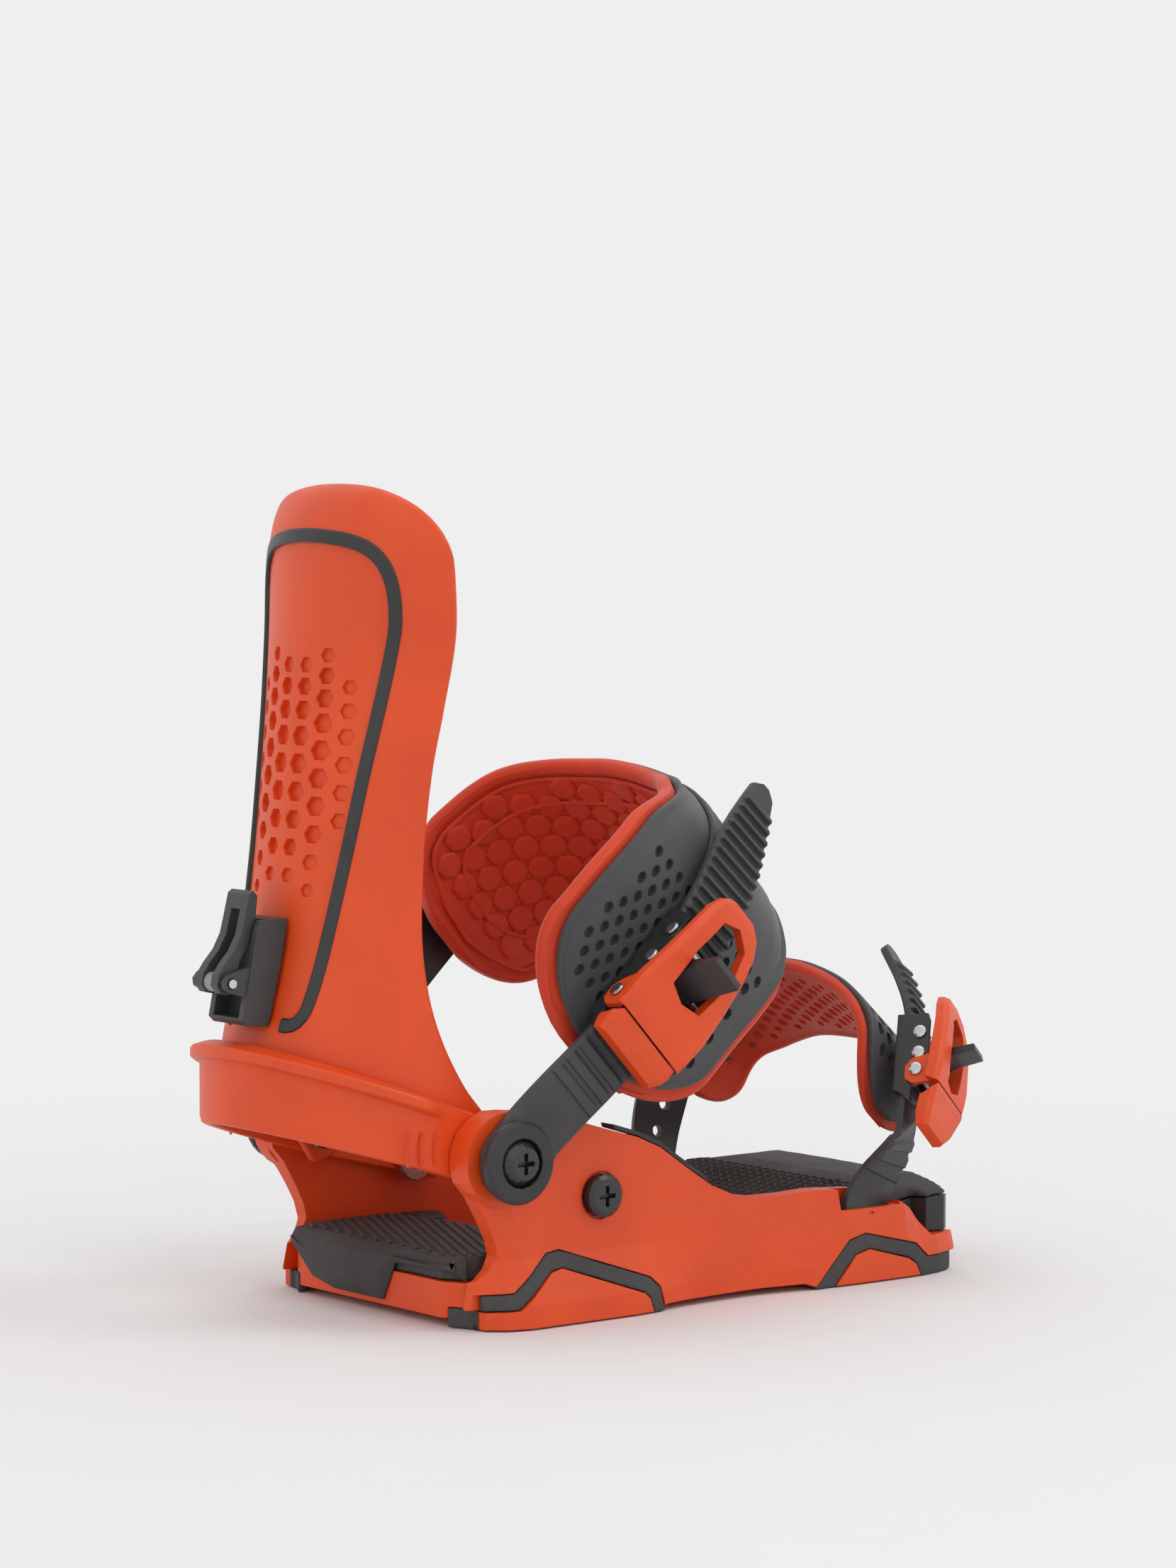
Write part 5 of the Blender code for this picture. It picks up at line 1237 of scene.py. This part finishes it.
# ---- footbeds ----
@dataclass
class Footbed:
    """Foam footbeds and cushions, their grip ribs, and the skirt over the rear end."""

    heel: tuple[tuple[float, float], ...] = (
        (-98, -40), (-94, -46), (-88, -47), (-60, -47), (-57, -43), (-52.5, -20), (-52, 0), (-52.5, 20),
        (-57, 43), (-60, 47), (-88, 47), (-94, 46), (-98, 40))
    foams: tuple[tuple[str, float], ...] = (
        ("heel_footbed", 0.8), ("toe_footbed", 0.8), ("footbed_tab_near", 0.5), ("footbed_tab_far", 0.5),
        ("eva_rear_near", 0.6), ("eva_rear_far", 0.6), ("eva_front_near", 0.6), ("eva_front_far", 0.6))
    heel_top: float = 24.0
    pitch: float = 3.4
    slant: float = 64.0

    def rib(self, solid: Solid, points: Sequence[Vector], half: float, height: float) -> None:
        """A low rib with sloping sides along points.

        Args:
            solid: the mesh to add to.
            points: its centre line on the pad's face.
            half: half its width at the foot.
            height: its height.
        """
        rings = []
        for k, point in enumerate(points):
            ahead = points[min(k + 1, len(points) - 1)] - points[max(k - 1, 0)]
            across = Vector((-ahead.y, ahead.x, 0)).normalized()
            rings.append([point - across * half + Vector((0, 0, -0.5)), point - across * half * 0.55
                          + Vector((0, 0, height)), point + across * half * 0.55 + Vector((0, 0, height)),
                          point + across * half + Vector((0, 0, -0.5))])
        solid.loft(rings)

    def crossings(self, start: Vector, way: Vector) -> list[float]:
        """Where a line crosses the heel pad's outline.

        Args:
            start: a point on the line.
            way: its direction.

        Returns:
            Distances along the line, in order.
        """
        found = []
        for (x0, y0), (x1, y1) in zip(self.heel, self.heel[1:] + self.heel[:1]):
            side = Vector((x1 - x0, y1 - y0))
            cross = way.x * side.y - way.y * side.x
            if abs(cross) < 1e-9:
                continue
            away = Vector((x0 - start.x, y0 - start.y))
            share = (away.x * way.y - away.y * way.x) / cross
            if 0 <= share < 1:
                found.append((away.x * side.y - away.y * side.x) / cross)
        return sorted(found)

    def cushion(self, node: str, grid: float) -> None:
        """Rebuild one foam body from the frame on a fine grid, with rolled edges and an uneven face.

        Args:
            node: the CAD node that it stands for.
            grid: spacing of the new mesh.
        """
        source = frame["nodes"][node]
        solid = Solid()
        solid.bm.from_mesh(source.data)
        bmesh.ops.transform(solid.bm, matrix=source.matrix_world, verts=solid.bm.verts)
        bmesh.ops.scale(solid.bm, vec=(1 / MM, 1 / MM, 1 / MM), verts=solid.bm.verts)
        Piece(node + "_foam", solid, EVA_FOAM, "base", "eva_foam", (node,), crease=60, fill=0.95,
              grid=grid).place()

    def skirt(self) -> None:
        """The foam's faceted edge that hangs over the base's rear end."""
        profile = ((-96.0, 24.0), (-100.4, 23.6), (-103.4, 20.6), (-104.2, 15.0), (-103.0, 8.6),
                   (-102.0, 5.0), (-101.25, 5.0), (-101.25, 15.85), (-96.0, 15.85))
        rings = []
        for y, shrink in ((-50.0, 0.22), (-16.0, 0.28), (-9.0, 1.0), (20.0, 1.0), (34.0, 0.85), (46.0, 0.35)):
            rings.append([Vector((max(x, -101.25 + (x + 101.25) * max(shrink, 0.6)) if x < -101.3 else x, y,
                                  24.0 + (z - 24.0) * shrink if z < 20.0 and x < -101.2 else z))
                          for x, z in profile])
        Piece("heel_pad_skirt", Solid(rings), EVA_FOAM, "base", "eva_foam", bevel=0.4, crease=20,
              fill=0.95).place()

    def toe_top(self, x: float, y: float) -> float:
        """Height of the toe pad's face.

        Args:
            x: place along the binding.
            y: place across.

        Returns:
            The height.
        """
        crown = line_knots(x, [(50, 23), (84, 31), (100, 33.0)])
        shoulder = line_knots(abs(y), [(36, 33.4), (52, 30.2), (64, 26.2)])
        return min(crown, shoulder, 33.0)

    def build(self) -> None:
        """Place the foam, the skirt and the ribs on both pads."""
        solid = Solid()
        way = Vector((math.cos(math.radians(self.slant)), math.sin(math.radians(self.slant)), 0))
        side = Vector((-way.y, way.x, 0))
        for k in range(-30, 31):
            start = Vector((-75, 0, self.heel_top)) + side * k * self.pitch
            marks = self.crossings(start, way)
            if len(marks) >= 2 and marks[-1] - marks[0] > 5:
                self.rib(solid, [start + way * marks[0], start + way * marks[-1]], 1.1, 0.7)
        Piece("heel_pad_ribs", solid, EVA_FOAM, "base", "eva_foam", fill=0.95).place()
        self.skirt()
        bpy.context.view_layer.update()
        for node, grid in self.foams:
            self.cushion(node, grid)
        solid = Solid()
        x = 55.5
        while x < 90:
            points = []
            for k in range(45):
                y = -49.5 + 99 * k / 44
                shift = 1.1 * (1 if k % 2 else -1)
                points.append(Vector((x + shift, y, self.toe_top(x + shift, y))))
            self.rib(solid, points, 0.8, 0.55)
            x += 3.3
        Piece("toe_pad_ribs", solid, EVA_FOAM, "base", "eva_foam", fill=0.95).place()


# ---- studio ----
@dataclass
class Studio:
    """Pale floor, soft lights and the camera."""

    stand: tuple[float, float, float] = (-979.6, -1231.6, 266.2)
    target: tuple[float, float, float] = (16.6, 25.5, 179.0)
    lens: float = 100.0
    film: float = 36.0
    lamps: tuple[tuple[str, tuple[float, float, float], float, float], ...] = (
        ("key", (0.75, -1.10, 1.45), 0.8, 5.0), ("rear_left", (-1.50, -0.50, 1.10), 0.9, 1.2),
        ("top", (-0.05, 0.10, 1.80), 1.2, 1.6))

    def camera(self) -> None:
        """Stand the camera low behind the near side and aim it above the middle of the base."""
        data = bpy.data.cameras.new("camera")
        data.lens, data.sensor_width, data.sensor_fit = self.lens, self.film, "AUTO"
        data.dof.use_dof = False
        cam = bpy.data.objects.new("camera", data)
        bpy.context.scene.collection.objects.link(cam)
        stand, target = Vector(self.stand), Vector(self.target)
        cam.location = stand * MM
        cam.rotation_mode = "QUATERNION"
        cam.rotation_quaternion = (target - stand).to_track_quat("-Z", "Y")
        bpy.context.scene.camera = cam

    def lamp(self, name: str, place: tuple[float, float, float], size: float, power: float) -> None:
        """A soft square light aimed at the binding.

        Args:
            name: the light's name.
            place: where it hangs, in metres.
            size: its side, in metres.
            power: its power in watts.
        """
        data = bpy.data.lights.new(name, "AREA")
        data.energy, data.size = power, size
        lamp = bpy.data.objects.new(name, data)
        lamp.location = place
        lamp.rotation_mode = "QUATERNION"
        lamp.rotation_quaternion = (Vector((-0.02, 0, 0.12)) - Vector(place)).to_track_quat("-Z", "Y")
        bpy.context.scene.collection.objects.link(lamp)

    def floor(self) -> None:
        """The floor, a pale square plane just below the binding."""
        bm = bmesh.new()
        bmesh.ops.create_grid(bm, x_segments=4, y_segments=4, size=0.65)
        mesh = bpy.data.meshes.new("floor")
        bm.to_mesh(mesh)
        bm.free()
        floor = bpy.data.objects.new("floor", mesh)
        floor.location.z = -0.0003
        mesh.materials.append(SHOP.get(STUDIO_PAINT))
        bpy.context.scene.collection.objects.link(floor)

    def build(self) -> None:
        """Set the stage."""
        bpy.context.scene.view_settings.view_transform = "Standard"
        world = bpy.data.worlds.new("studio")
        bpy.context.scene.world = world
        world.use_nodes = True
        sky = world.node_tree.nodes["Background"]
        sky.inputs["Color"].default_value = linear("#F2F2F2")
        sky.inputs["Strength"].default_value = 0.97
        self.floor()
        self.camera()
        for name, place, size, power in self.lamps:
            self.lamp(name, place, size, power)


def dress_frame() -> None:
    """Give every CAD node that stays in view the finish of its material slot."""
    slots = {row["node"]: row["material_slot"] for row in frame["record"]["subparts"]}
    for name, obj in frame["nodes"].items():
        finish = SLOT_FINISHES[slots[name]]
        for slot in obj.material_slots:
            slot.material = SHOP.get(finish)
        if not obj.hide_render:
            LOG.info("%s: kept from the frame, %s", name, finish.name)


def main() -> None:
    """Build the binding and its studio."""
    logging.basicConfig(level=logging.INFO, format="%(name)s %(message)s")
    Studio().build()
    Highback().build()
    HeelHoop().build()
    AnklePad().build()
    ToePad().build()
    Ladders().build()
    Footbed().build()
    dress_frame()


if __name__ == "__main__":
    main()
